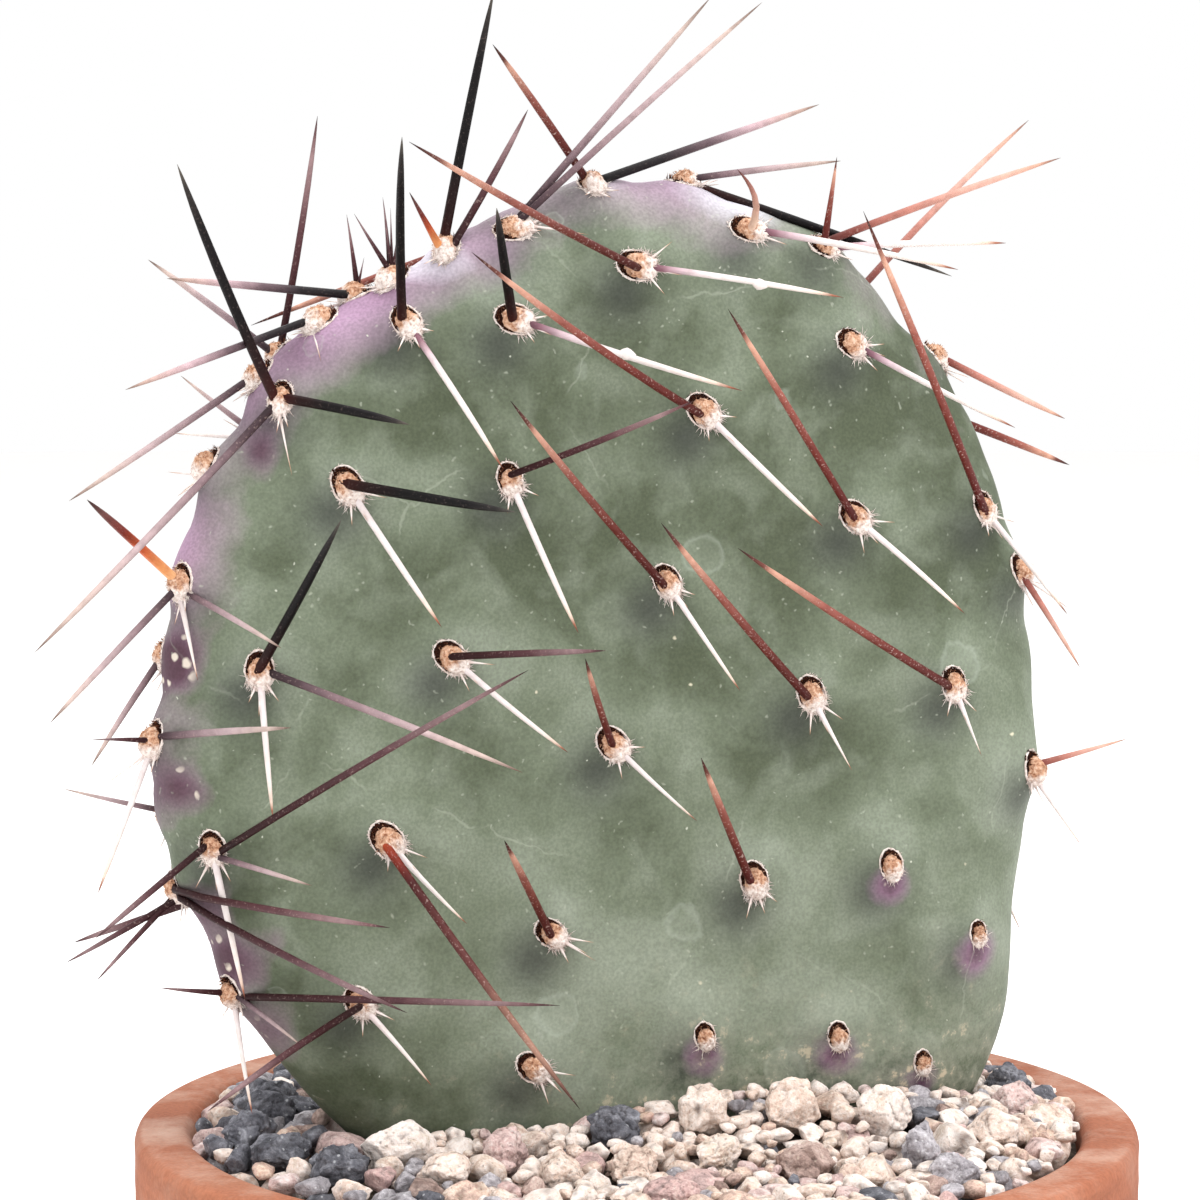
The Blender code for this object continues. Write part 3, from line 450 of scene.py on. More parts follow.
def skin_material(settings):
    """Living cactus skin, grown, with its own wax: dull, mottled, and purple where the sun tans it."""
    material, place, wax, blush, deep, hollow, dust = new_material(
        "Living cactus skin with wax bloom", 0.60, 0.30, "wax", "blush", "deep", "hollow", "dust")
    # Deep green in the valleys, pale wax on the crests, and both blurred by mottling 12 mm wide; the pale
    # mark also carries painted light and shade, so the deep green and the pale are partly painted shade and
    # light
    broad = add_node(material, "TexNoise", {"Vector": place, "Scale": per_mm(12.0), "Detail": 5.0,
                                            "Roughness": 0.58, "Distortion": 0.3})
    level = add_node(material, "Math", (broad, MOTTLE_GAIN, wax), operation="MULTIPLY_ADD")
    skin = add_node(material, "ValToRGB", (level,),
                    [(0.34, settings.deep), (0.58, settings.green), (0.92, settings.bloom)])
    # Clouds of wax 6 mm wide with soft edges
    patch, waxy = mottle(material, place, 6.0, 4.0, [(0.48, 0.0), (0.78, 0.50)], Roughness=0.5,
                         Distortion=0.5)
    skin = blend_colours(material, waxy, skin, settings.bloom)
    # Painted shade: the skin below and to the left of each cushion, where it also sinks a little, is darkened
    # and turned a little purple
    hollow = add_node(material, "Math", (hollow, PAINTED_SHADE_SHARE), operation="MULTIPLY")
    skin = blend_colours(material, hollow, skin, "30332F")
    # The rim's tan runs from purple through lilac wax, with an uneven edge
    tan = add_node(material, "ValToRGB", (deep,), [(0.0, settings.lilac), (0.9, settings.blush)])
    tanned = add_node(material, "Math", (blush, broad), operation="ADD")
    skin = blend_colours(material, add_node(material, "MapRange", (tanned, *TAN_RANGE)), skin, tan)
    # Along the top of the rim the skin turns bluish white: thick wax, and painted light where the top faces
    # up
    skin = blend_colours(material, add_node(material, "MapRange", (level, *THICK_WAX_AND_LIGHT_RANGE)), skin, "C9C7D0")
    # Pores are about 0.2 mm apart; they are drawn 0.35 mm apart so that they show
    _, fine = mottle(material, place, 0.35, 1.0, [(0.33, 0.28), (0.68, 0.76)])
    skin = blend_colours(material, PORE_SHARE, skin, fine, "OVERLAY")
    wavy = add_node(material, "VectorMath", (patch.node.outputs["Color"], (BENT_BY,) * 3),
                    operation="MULTIPLY")
    bent = add_node(material, "VectorMath", (place, wavy), operation="ADD")
    for size, inside, outside, kept, seed, share, hex_colour in SPECKS:
        speck = spots(material, bent, size, inside, outside, kept, seed)
        faint = add_node(material, "Math", (speck, share), operation="MULTIPLY")
        skin = blend_colours(material, faint, skin, hex_colour)
    scar = spots(material, bent, *PURPLE_SCARS)
    scarred = add_node(material, "MapRange", (deep, *SCAR_RANGE))
    scar = add_node(material, "Math", (scar, scarred), operation="MULTIPLY")
    skin = blend_colours(material, scar, skin, "CDC2B4")
    for size, kept, seed in DROPS:
        disc, inner = (spots(material, bent, size, *edge, kept, seed) for edge in (DROP_EDGE, DROP_INNER))
        ring = add_node(material, "Math", (inner, DROP_RING, disc), operation="MULTIPLY_ADD")
        drop = add_node(material, "Math", (ring, DROP_SHARE), operation="MULTIPLY")
        skin = blend_colours(material, drop, skin, "B4BDB0")
    # Fine scratches: thin pale lines, broken up by the mottling
    cells = add_node(material, "TexVoronoi", {"Vector": bent, "Scale": per_mm(SCRATCH_SPACING)},
                     feature="DISTANCE_TO_EDGE")
    line = add_node(material, "MapRange", (cells, *SCRATCH_EDGES, SCRATCH_SHARE, 0.0))
    worn = add_node(material, "MapRange", (broad, *SCRATCHED_RANGE))
    scratch = add_node(material, "Math", (line, worn), operation="MULTIPLY")
    skin = blend_colours(material, scratch, skin, "C2C8B6")
    # Buff dust lies on the skin near the grit, with crumbs about 0.8 mm wide
    crumb = add_node(material, "TexNoise", {"Vector": place, "Scale": per_mm(2.6), "Detail": 6.0,
                                            "Roughness": 0.72})
    for lowest, highest, hex_colour in DUSTS:
        lies = add_node(material, "MapRange", (crumb, lowest, highest))
        dusty = add_node(material, "Math", (lies, dust), operation="MULTIPLY")
        skin = blend_colours(material, dusty, skin, hex_colour)
    return finish_material(material, skin, patch, 0.30)


def horn_material(name, stops, roughness, flecks):
    """A spine of horny dead tissue: satin, with its own colours from root to point and pale worn flecks."""
    material, place, along, tint = new_material(name, roughness, 0.14, "along", "tint")
    base = add_node(material, "ValToRGB", (along,), stops)
    streak, shade = mottle(material, place, 1.1, 4.0, [(0.3, 0.34), (0.7, 0.62)])
    base = blend_colours(material, STREAK_SHARE, base, shade, "OVERLAY")
    base = blend_colours(material, tint, base, "FFF3EE", "SOFT_LIGHT")
    # Worn flecks are about 0.1 mm wide; they are drawn 0.3 mm wide so that they show
    _, fleck = mottle(material, place, 0.3, 2.0, [(0.60, 0.0), (0.70, flecks)])
    return finish_material(material, blend_colours(material, fleck, base, "C4ABA2"), streak, 0.04)


def felt_material(name, size, stops, low_stops=None):
    """Matted plant hair, such as felt or wool: dry and dull, its fibres drawn as small lumps of colour that
    also raise it, so the dark between the lumps and the pale on their tops are partly painted shade and
    light.
    """
    material, place = new_material(name, 0.95, 0.1)
    lump, base = mottle(material, place, size, 4.0, stops, Roughness=0.65)
    if low_stops:
        # The felt turns to white wool at the cushion's lower end
        pale = add_node(material, "ValToRGB", (lump,), low_stops)
        low = add_node(material, "Attribute", out="Fac", attribute_name="low")
        base = blend_colours(material, add_node(material, "MapRange", (low, 0.50, 0.92)), base, pale)
    return finish_material(material, base, lump, 0.25)


def stone_material(name, stops, speck, speck_size):
    """Broken or river-worn stone: dull and grainy, darkened in its cracks as painted shade, some lighter and
    some darker.
    """
    material, place, crease_shade, tint = new_material(name, 0.9, 0.2, "crease_shade", "tint")
    # The mottle also raises the surface, so its dark low spots and pale high ones are partly painted shade
    # and highlight
    cloud, base = mottle(material, place, 2.6, 6.0, stops, Roughness=0.65, Distortion=0.8)
    shade = add_node(material, "ValToRGB", (tint,), [(0.0, 0.28), (1.0, 0.68)])
    base = blend_colours(material, STONE_TINT, base, shade, "OVERLAY")
    # Mineral grains 0.4 mm wide
    grains, fine = mottle(material, place, 0.4, 3.0, [(0.32, 0.20), (0.66, 0.80)], Roughness=0.7)
    base = blend_colours(material, STONE_GRAIN, base, fine, "OVERLAY")
    crystal = spots(material, place, speck_size, 0.14, 0.26, 0.4, 0.007)
    share = add_node(material, "Math", (crystal, CRYSTAL_SHARE), operation="MULTIPLY")
    base = blend_colours(material, share, base, speck)
    # Painted shade darkens the cracks and the creases between lumps
    dark = add_node(material, "Math", (crease_shade, CREASE_SHADE_SHARE), operation="MULTIPLY")
    base = blend_colours(material, dark, base, "55463F", "MULTIPLY")
    height = add_node(material, "Math", (grains, cloud), operation="ADD")
    return finish_material(material, base, height, 0.28)


def clay_material(settings):
    """Terracotta, turned and fired unglazed: dull and dry, with turning marks and lime that water left."""
    material, place, lime = new_material("Turned terracotta", 0.9, 0.25, "lime")
    _, clay = mottle(material, place, 34.0, 5.0, [(0.34, "8E553E"), (0.62, settings.clay), (0.80, "AE7A60")])
    # Turning marks are bands about 1.6 mm high that run round the pot
    flat = add_node(material, "VectorMath", (place, MARK_FLATNESS), operation="MULTIPLY")
    _, band = mottle(material, flat, 1.6, 3.0, [(0.35, 0.42), (0.65, 0.57)])
    clay = blend_colours(material, MARK_SHARE, clay, band, "OVERLAY")
    # Sand in the clay, its grains 0.5 mm wide
    sand, grit = mottle(material, place, 0.5, 2.0, [(0.32, 0.38), (0.66, 0.60)])
    clay = blend_colours(material, SAND_SHARE, clay, grit, "OVERLAY")
    _, lies = mottle(material, place, 15.0, 7.0, [(0.46, 0.0), (0.70, 0.52)], Roughness=0.66)
    share = add_node(material, "Math", (lies, lime), operation="MULTIPLY")
    return finish_material(material, blend_colours(material, share, clay, "DCC9B8"), sand, 0.15)


def mix_material():
    """Mineral potting mix, sieved and damp: dark crumbs with pale bits of pumice."""
    material, place = new_material("Mineral potting mix", 0.96, 0.2)
    crumb, base = mottle(material, place, 2.5, 6.0, [(0.35, "251C16"), (0.62, "4D3D31")])
    bit = spots(material, place, 4.0, 0.14, 0.2, 0.4)
    return finish_material(material, blend_colours(material, bit, base, "B9AC9C"), crumb, 0.6)


def floor_material(settings):
    """Matte paper, rolled: pale and even, with only a trace of tooth."""
    material, place = new_material("Matte paper floor", 0.85, 0.2)
    shaded = [0.995 * c for c in settings.floor]
    _, base = mottle(material, place, 60.0, 2.0, [(0.3, shaded), (0.7, settings.floor)])
    return finish_material(material, base)


# Spines by kind: thickness at the root in millimetres, roughness, share of flecks, colours from root to point
SPINE_KINDS = {
    "black": ("Black horn spine", 1.18, 0.50, 0.06,
              [(0.0, "2E0B07"), (0.14, "1B0606"), (0.36, "070405"), (0.74, "0C090B"), (0.9, "262322"),
               (1.0, "4F4B44")]),
    "ash": ("Horn spine with a black root and a pale mauve point", 1.05, 0.50, 0.06,
            [(0.0, "0C090A"), (0.30, "1E1A1D"), (0.50, "58484E"), (0.70, "AF959B"), (0.90, "A68D84"),
             (1.0, "5A4A40")]),
    "dark": ("Red-brown horn spine", 1.00, 0.48, 0.50,
             [(0.0, "32110F"), (0.10, "401614"), (0.34, "52231E"), (0.62, "74423A"), (0.84, "AE8270"),
              (0.89, "54302A"), (1.0, "130A0B")]),
    "maroon": ("Maroon horn spine", 0.88, 0.48, 0.20,
               [(0.0, "1C080A"), (0.30, "32181B"), (0.55, "4B3034"), (0.82, "7E6769"), (0.92, "5A4143"),
                (1.0, "241416")]),
    "russet": ("Red-rooted horn spine", 0.98, 0.46, 0.30,
               [(0.0, "A04526"), (0.06, "7A2A1C"), (0.16, "431A1A"), (0.50, "5A322F"), (0.80, "9A7564"),
                (0.93, "5A3A32"), (1.0, "1A0D0F")]),
    "ember": ("Orange-rooted horn spine", 1.15, 0.44, 0.10,
              [(0.0, "E2BC92"), (0.16, "D08A56"), (0.42, "A84C2C"), (0.64, "642822"), (0.86, "563836"),
               (1.0, "1A0D0F")]),
    "thorn": ("Pinkish tan thorn", 1.10, 0.50, 0.05,
              [(0.0, "D9BFA9"), (0.35, "B48F7F"), (0.70, "8C5F56"), (1.0, "401A1A")]),
    "pale": ("Mauve horn spine", 0.90, 0.50, 0.20,
             [(0.0, "1C1214"), (0.12, "3A2C31"), (0.32, "756166"), (0.60, "A38F91"), (0.85, "B29F97"),
              (1.0, "4A3428")]),
    "rose": ("Rose-brown horn spine", 1.00, 0.48, 0.25,
             [(0.0, "3A1A18"), (0.12, "6E3A34"), (0.36, "A0695E"), (0.70, "C69C8E"), (0.90, "B98E7C"),
              (1.0, "4A2A22")]),
    "white": ("White horn spine", 0.82, 0.55, 0.06,
              [(0.0, "452A33"), (0.07, "7B5762"), (0.17, "B9A1A8"), (0.32, "D5CCCA"), (0.76, "DACFC9"),
               (0.88, "D2BBAB"), (0.94, "8F5B48"), (1.0, "4E2A24")]),
    "small": ("Small white bristle", 0.45, 0.6, 0.0,
              [(0.0, "C9B9B4"), (0.55, "D8CFCA"), (0.85, "B58E74"), (1.0, "74452F")]),
}
SPINE_SHAPE = ((-1.0, 0.92), (0.0, 1.0), (0.05, 0.98), (0.20, 0.96), (0.40, 0.93), (0.58, 0.87), (0.72, 0.77),
               (0.82, 0.63), (0.90, 0.44), (0.96, 0.24), (1.0, 0.03))
# Spines shorter than the first length are plain cones, and those longer than the second keep the full shape
CONE_LENGTHS = (8.0 * MM, 18.0 * MM)

# Two white spines have a knot: the areole's place in the list, and the share of the length
SPINE_KNOTS = {1: 0.57, 2: 0.47}
KNOT_SHAPE = ((0.0, 0.6), (0.12, 1.1), (0.35, 1.75), (0.6, 1.55), (0.85, 1.0), (1.0, 0.6))

# Stones by kind: colours from the mottle's low spots to its high ones, the dark low and pale high partly
# painted shade and highlight, crystals and their size in millimetres, then as shares of its radius how soft
# its edges are, how rough its breaks are and how far rounded lumps stand out, and the slot
STONE_KINDS = {
    "dark": ("Broken dark lava", [(0.25, "2E2E33"), (0.50, "68686F"), (0.8, "ACACB3")], "C8C9CD", 0.9,
             0.010, 0.11, 0.0, "dark_stone"),
    "cream": ("River-worn cream limestone", [(0.25, "BFA897"), (0.45, "E3D1C6"), (0.8, "FBF1EA")], "A08C7E",
              0.8, 0.014, 0.07, 0.0, "cream_stone"),
    "pink": ("River-worn pink granite", [(0.25, "967B78"), (0.5, "D0B7B2"), (0.8, "EDDEDA")], "6A5C5A", 0.7,
             0.012, 0.08, 0.0, "pink_stone"),
    "tan": ("Broken tan sandstone", [(0.25, "9E8475"), (0.5, "D8C2B4"), (0.8, "F6E8DE")], "7A6456", 0.8,
            0.009, 0.10, 0.0, "tan_stone"),
    "pumice": ("Broken pale pumice", [(0.25, "AE9888"), (0.45, "DFCEC3"), (0.8, "F8EDE6")], "84705F", 0.6,
               0.009, 0.11, 0.04, "pumice"),
    "brown": ("Broken brown jasper", [(0.25, "6C5650"), (0.5, "A78F86"), (0.8, "D3BEB5")], "D2C0B0", 0.8,
              0.009, 0.10, 0.0, "brown_stone"),
    "grey": ("Broken grey basalt", [(0.25, "6C676B"), (0.5, "A39EA2"), (0.8, "D6D2D6")], "E2E0E2", 0.7,
             0.009, 0.10, 0.0, "grey_stone"),
}

# Small grit by kind: how often it turns up, and how often on the left, where dark lava lies thick
GRIT_MIX = {"cream": 0.25, "tan": 0.20, "pumice": 0.25, "pink": 0.13, "grey": 0.11, "dark": 0.03,
            "brown": 0.03}
GRIT_MIX_LEFT = {"cream": 0.06, "tan": 0.11, "pumice": 0.05, "pink": 0.10, "grey": 0.30, "dark": 0.33,
                 "brown": 0.05}
GRIT_LEFT = (-36.0 * MM, -26.0 * MM)
GRIT_TEMPLATES = 14
GRIT_CELL = 0.3 * MM
GRIT_DEPTH = 4.2 * MM
GRIT_BASE = 3.2 * MM
GRIT_OVERLAP = 0.88
GRIT_CANDIDATES = 14
# Left of this line no grains finer than this fill the gaps between the dark blocks
GRIT_OPEN_LEFT = -33.0 * MM
GRIT_OPEN_FINEST = 2.5 * MM


# Meshes

def make_piece(name, form, material, replaced):
    """A piece of the object from points, faces and marks, which rides on the body and stands for nodes."""
    points, faces, marks = form
    mesh = bpy.data.meshes.new(name)
    mesh.from_pydata(np.asarray(points).tolist(), [], [list(face) for face in faces])
    for mark, values in marks.items():
        layer = mesh.attributes.new(mark, "FLOAT", "POINT")
        layer.data.foreach_set("value", np.asarray(values, np.float32))
    mesh.materials.append(material)
    mesh.shade_smooth()
    piece = bpy.data.objects.new(name, mesh)
    bpy.context.scene.collection.objects.link(piece)
    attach(piece, BODY)
    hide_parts(*replaced)
    return piece


def gather(forms):
    """Joins many small forms, each its points, faces and marks, to one."""
    points = np.concatenate([form[0] for form in forms])
    starts = np.cumsum([0] + [len(form[0]) for form in forms])
    faces = []
    for start, form in zip(starts, forms):
        faces.extend([[index + start for index in face] for face in form[1]])
    marks = {name: np.concatenate([form[2][name] for form in forms]) for name in forms[0][2]}
    return points, faces, marks


def around(count):
    """Angles in radians of so many points round a circle."""
    return TURN * np.arange(count) / count


def level_ring(turns, reach_x, reach_y, height):
    """Points of a level oval ring round the Z axis."""
    return np.stack((reach_x * np.cos(turns), reach_y * np.sin(turns), height + 0.0 * turns), axis=1)


def ring_faces(first, second, count):
    """Faces between two rings of points, given the numbers of their first points."""
    return [(first + k, first + (k + 1) % count, second + (k + 1) % count, second + k) for k in range(count)]


def crown_faces(rings, count):
    """Faces of a closed form: its top point, so many rings below it, and a flat end."""
    faces = [(0, 1 + k, 1 + (k + 1) % count) for k in range(count)]
    for row in range(rings - 1):
        faces += [face[::-1] for face in ring_faces(1 + row * count, 1 + (row + 1) * count, count)]
    last = 1 + (rings - 1) * count
    return faces + [tuple(range(last, last + count))[::-1]]


def cross_ring(direction, sides):
    """Points of a ring of radius 1, square to a direction."""
    across, up = side_axes(direction)
    turns = around(sides)
    return np.outer(np.cos(turns), across) + np.outer(np.sin(turns), up)


def tube(centres, radii, direction, sides):
    """A closed round form through centres: its points and faces."""
    ring = cross_ring(direction, sides)
    points = [centre + ring * radius for centre, radius in zip(centres, radii)]
    faces = []
    for row in range(len(centres) - 1):
        faces += ring_faces(row * sides, (row + 1) * sides, sides)
    last = (len(centres) - 1) * sides
    faces += [tuple(range(sides - 1, -1, -1)), tuple(range(last, last + sides))]
    return np.concatenate(points), faces


def unit(vector):
    """A vector at length 1."""
    return vector / np.linalg.norm(vector)


def side_axes(direction):
    """Two directions square to one."""
    helper = np.array((0.0, 0.0, 1.0)) if abs(direction[2]) < 0.9 else np.array((1.0, 0.0, 0.0))
    across = unit(np.cross(direction, helper))
    return across, np.cross(direction, across)


# The pad's outline and skin, by the same formulas as the solid's

def pad_radius(angle):
    """The pad's outline: a smooth closed curve through PAD_RADII, angles in radians clockwise from up."""
    count = len(PAD_RADII)
    place = np.mod(angle / TURN * count, count)
    first = np.floor(place).astype(int)
    t = place - first
    a, b, c, d = (PAD_RADII[(first + k) % count] for k in (-1, 0, 1, 2))
    square, cube = 2 * a - 5 * b + 4 * c - d, 3 * b - a - 3 * c + d
    return 0.5 * (2 * b + (c - a) * t + square * t ** 2 + cube * t ** 3)


def pad_thickness(up):
    """Half thickness at a height from the pad's centre."""
    return PAD_HALF_THICKNESS - PAD_TAPER * up


def pad_level(points):
    """Negative inside the smooth pad and positive outside it. Points are measured from the pad's centre."""
    x, y, z = points[..., 0], points[..., 1], points[..., 2]
    share = np.hypot(x, z) / pad_radius(np.arctan2(x, z))
    return (y / pad_thickness(z)) ** 2 + share ** PAD_EDGE_POWER - 1.0


def pad_normal(points):
    """The smooth pad's outward direction at points near its surface."""
    slope = np.zeros_like(points)
    for axis in range(3):
        shift = np.zeros(3)
        shift[axis] = NORMAL_STEP
        slope[..., axis] = pad_level(points + shift) - pad_level(points - shift)
    return slope / np.linalg.norm(slope, axis=-1, keepdims=True)


def nearness(points, centre, reach):
    """How near points are to a centre: 1 there, and next to nothing at twice the reach."""
    return np.exp(-(np.linalg.norm(points - centre, axis=1) / reach) ** 2)


def face_points(across, up, side):
    """Points of the smooth pad's face; side is -1 for the front and 1 for the back."""
    share = np.hypot(across, up) / pad_radius(np.arctan2(across, up))
    bulge = np.sqrt(np.maximum(0.0, 1.0 - share ** PAD_EDGE_POWER))
    return np.stack((across, side * pad_thickness(up) * bulge, up), axis=-1)


def rim_points(clock, back):
    """Points of the smooth pad's rim at clock angles in degrees, so far back from the rim's middle."""
    angle = np.radians(clock)
    radius = pad_radius(angle)
    reach = radius * (1.0 - (back / pad_thickness(radius * np.cos(angle))) ** 2) ** (1.0 / PAD_EDGE_POWER)
    return np.stack((reach * np.sin(angle), back + 0.0 * angle, reach * np.cos(angle)), axis=-1)


def spine_direction(heading, lift, side):
    """Unit direction of a spine; side -1 lifts towards the front and 1 towards the back."""
    turn = math.radians(heading)
    rise = math.radians(lift)
    return np.array((math.sin(turn) * math.cos(rise), side * math.sin(rise), math.cos(turn) * math.cos(rise)))


def clear_direction(root, heading, lift, length, side):
    """Direction of a spine, its lift raised by a few degrees at a time until it stands clear of the skin."""
    for extra in range(0, SPINE_LIFT_MOST, SPINE_LIFT_STEP):
        direction = spine_direction(heading, lift + extra, side)
        steps = root + np.outer(SPINE_TESTED_AT * length, direction)
        if (pad_level(steps - pad_normal(steps) * SPINE_CLEAR) >= 0.0).all():
            return direction
    raise ValueError(f"a spine with heading {heading} can't leave the skin")


def back_spines(up, draw):
    """The spines of one back areole."""
    spines = []
    kinds = BACK_SPINES if up > BACK_SPINY_ABOVE else BACK_LOW_SPINES
    for kind, (chance, *ranges) in kinds.items():
        heading, lift, length = (draw.uniform(*span) for span in ranges)
        if kind == "dark" and up > BACK_DOWN_ABOVE:
            heading += 180.0
        if draw.random() < chance:
            spines.append((heading % 360, lift, length, kind))
    return spines


def areole_axes(normal, spines, side):
    """Directions of an areole as columns: across, along its length, and out of the skin."""
    headings = [heading for heading, _, _, kind in spines if kind in ("white", "small")]
    down = spine_direction(headings[0] if headings else CUSHION_HEADING, 0.0, side)
    along = normal * down.dot(normal) - down
    if np.linalg.norm(along) < CUSHION_LEAST_SLANT:
        along = np.array((0.0, 1.0, 0.0)) - normal * normal[1]
    along = unit(along)
    return np.stack((np.cross(along, normal), along, normal), axis=1)


def skin_bend(foot, mound, middle, axes):
    """How the skin falls away from the flat of an areole: by the squares of x and y, and by x and y."""
    flat = BEND_STEP * np.array(((1.0, 0.0, 0.0), (-1.0, 0.0, 0.0), (0.0, 1.0, 0.0), (0.0, -1.0, 0.0)))
    points = middle + flat @ axes.T
    level = pad_level(points)
    slope = (pad_level(points + pad_normal(points) * NORMAL_STEP) - level) / NORMAL_STEP
    drop = level / slope - mound * nearness(points, foot, MOUND_REACH)
    return ((drop[0] + drop[1]) / (2.0 * BEND_STEP ** 2), (drop[2] + drop[3]) / (2.0 * BEND_STEP ** 2),
            (drop[0] - drop[1]) / (2.0 * BEND_STEP), (drop[2] - drop[3]) / (2.0 * BEND_STEP))


def settle(areole, points):
    """Points in an areole's own directions, lowered as far as the curved skin lies below the flat."""
    x, y = points[..., 0], points[..., 1]
    square_x, square_y, slant_x, slant_y = areole["bend"]
    drop = square_x * x ** 2 + square_y * y ** 2 + slant_x * x + slant_y * y
    return points - np.stack((0.0 * x, 0.0 * x, drop), axis=-1)


def list_areoles():
    """All areoles, each with its foot on the smooth skin, mound, origin, axes and spines."""
    found = [(face_points(across * MM, up * MM, -1.0), MOUND_FACE, spines, -1.0)
             for across, up, spines in FRONT_AREOLES]
    found += [(rim_points(clock, back * MM), MOUND_RIM, spines, -1.0) for clock, back, spines in RIM_AREOLES]
    draw = random.Random(BACK_SEED)
    for row in BACK_ROWS:
        for line in BACK_LINES:
            across = row * BACK_ROW_STEP[0] + line * BACK_LINE_STEP[0] + BACK_SHIFT[0]
            up = row * BACK_ROW_STEP[1] + line * BACK_LINE_STEP[1] + BACK_SHIFT[1]
            across += draw.uniform(-BACK_JITTER, BACK_JITTER)
            up += draw.uniform(-BACK_JITTER, BACK_JITTER)
            spines = back_spines(up, draw)
            share = math.hypot(across, up) / pad_radius(math.atan2(across, up))
            if share < BACK_LIMIT and up > BACK_LOWEST:
                found.append((face_points(across, up, 1.0), MOUND_FACE, spines, 1.0))
    areoles = []
    for foot, mound, spines, side in found:
        normal = pad_normal(foot)
        axes = areole_axes(normal, spines, side)
        middle = foot + normal * mound
        grown = []
        for place, (heading, lift, length, kind) in enumerate(spines):
            direction = clear_direction(middle, heading, lift, length * MM, side)
            root = axes @ np.array(((place % 2 - 0.5) * SPINE_SPREAD, (1 - place) * SPINE_ROW, 0.0))
            grown.append((PAD_CENTRE + middle + root, direction, length * MM, kind))
        areoles.append({"foot": foot, "mound": mound, "origin": PAD_CENTRE + middle, "axes": axes,
                        "bend": skin_bend(foot, mound, middle, axes), "spines": grown})
    return areoles


AREOLES = list_areoles()


def mound_heights(points):
    """How far the areoles' mounds raise the skin at points of the smooth pad."""
    height = np.zeros(len(points))
    for areole in AREOLES:
        height = np.maximum(height, areole["mound"] * nearness(points, areole["foot"], MOUND_REACH))
    return height


def bed_height(x, y):
    """Height of the grit bed: it rises towards the pad, most where the grit is heaped against it."""
    beside = np.maximum(np.abs(x) - PAD_FOOT_HALF_WIDTH, 0.0)
    before = np.maximum(np.abs(y - PAD_CENTRE[1]) - PAD_FOOT_HALF_DEPTH, 0.0)
    heap = BED_HEAP * np.exp(-((x - BED_HEAP_CENTRE) / BED_HEAP_REACH) ** 2)
    return BED_EDGE + (BED_MOUND + heap) * np.exp(-(np.hypot(beside, before) / BED_SLOPE_REACH) ** 2)


def wall_radius(height):
    """Outer radius of the pot's plain wall at a height."""
    shoulder = POT_HEIGHT - POT_COLLAR_HEIGHT
    return POT_FOOT_RADIUS + (POT_COLLAR_RADIUS - POT_COLLAR_STEP - POT_FOOT_RADIUS) * height / shoulder


def inner_radius(height):
    """Inner radius of the pot at a height."""
    floor = wall_radius(POT_FLOOR) - POT_WALL
    return floor + (POT_MOUTH_RADIUS - floor) * (height - POT_FLOOR) / (POT_HEIGHT - POT_FLOOR)


# How much fainter and finer each layer of the noise is than the one before, and how deep the creases lie
NOISE_DROP = 0.8
NOISE_STEP = 2.0
CREASE = 1.8


def fractal(points, size, depth, basis="PERLIN_ORIGINAL"):
    """Fractal noise at points, from about -1 to 1, its largest lumps so many metres wide."""
    return np.array([noise.fractal(Vector(point), NOISE_DROP, NOISE_STEP, depth, noise_basis=basis)
                     for point in points / size])


def lumps(points, size):
    """Rounded lumps with creases between them at points: 1 on a lump's top, below 0 in a crease."""
    return np.array([1.0 - CREASE * noise.voronoi(Vector(point))[0][0] for point in points / size])


# The skin

CREST_REACH = 8.5 * MM
# Painted shade below and to the left of each cushion, where the skin also sinks
PAINTED_SHADE_SHIFT = np.array((-1.8, 0.0, -3.0)) * MM
PAINTED_SHADE_REACH = 3.7 * MM
# Painted light on the side of each cushion that faces the light, above and to the right of it
LIT_SIDE_SHIFT = np.array((1.3, 0.0, 2.4)) * MM
LIT_SIDE_REACH = 4.2 * MM
# Paleness on the crests, partly wax and partly painted light, and painted light above and to the right of
# each cushion
CREST_WAX_AND_LIGHT, LIT_SIDE_LIGHT = 0.20, 0.24
# Dust lies up to a height, most on the right, and least of all this share
DUST_REACH = 11.0 * MM
DUST_FROM = (-14.0 * MM, 12.0 * MM)
DUST_LEAST = 0.15
# Broad zones where the skin is paler or darker: place from the pad's centre and reaches in millimetres, and
# gain. Those below the cushion at (22, -12) and along the lower left edge are painted shade, and those on the
# top of the rim are partly painted light
PALE_AND_DARK_ZONES = (
    (0.0, 24.0, 38.0, 24.0, -0.18), (-40.0, -42.0, 14.0, 16.0, -0.15), (-50.0, -10.0, 7.0, 22.0, -0.05),
    (4.0, -36.0, 26.0, 10.0, 0.24), (-36.0, 14.0, 9.0, 16.0, 0.06), (-45.0, -33.0, 6.0, 12.0, -0.25),
    (39.0, 28.0, 9.0, 10.0, -0.30), (44.0, 9.0, 6.0, 8.0, -0.34), (22.0, -12.0, 9.0, 6.0, -0.14),
    (48.0, -18.0, 6.0, 16.0, 0.18), (-7.0, -9.0, 5.0, 6.0, 0.13), (-2.0, 22.0, 6.0, 5.0, 0.12),
    (5.0, -19.0, 7.0, 5.0, 0.10), (16.5, 53.0, 9.0, 4.0, 0.95), (-1.0, 53.5, 5.0, 2.5, 0.35),
    (-22.5, 45.0, 6.5, 3.6, 0.95), (31.5, -16.0, 7.0, 5.0, 0.12), (-7.5, -39.0, 8.0, 6.0, 0.12),
)
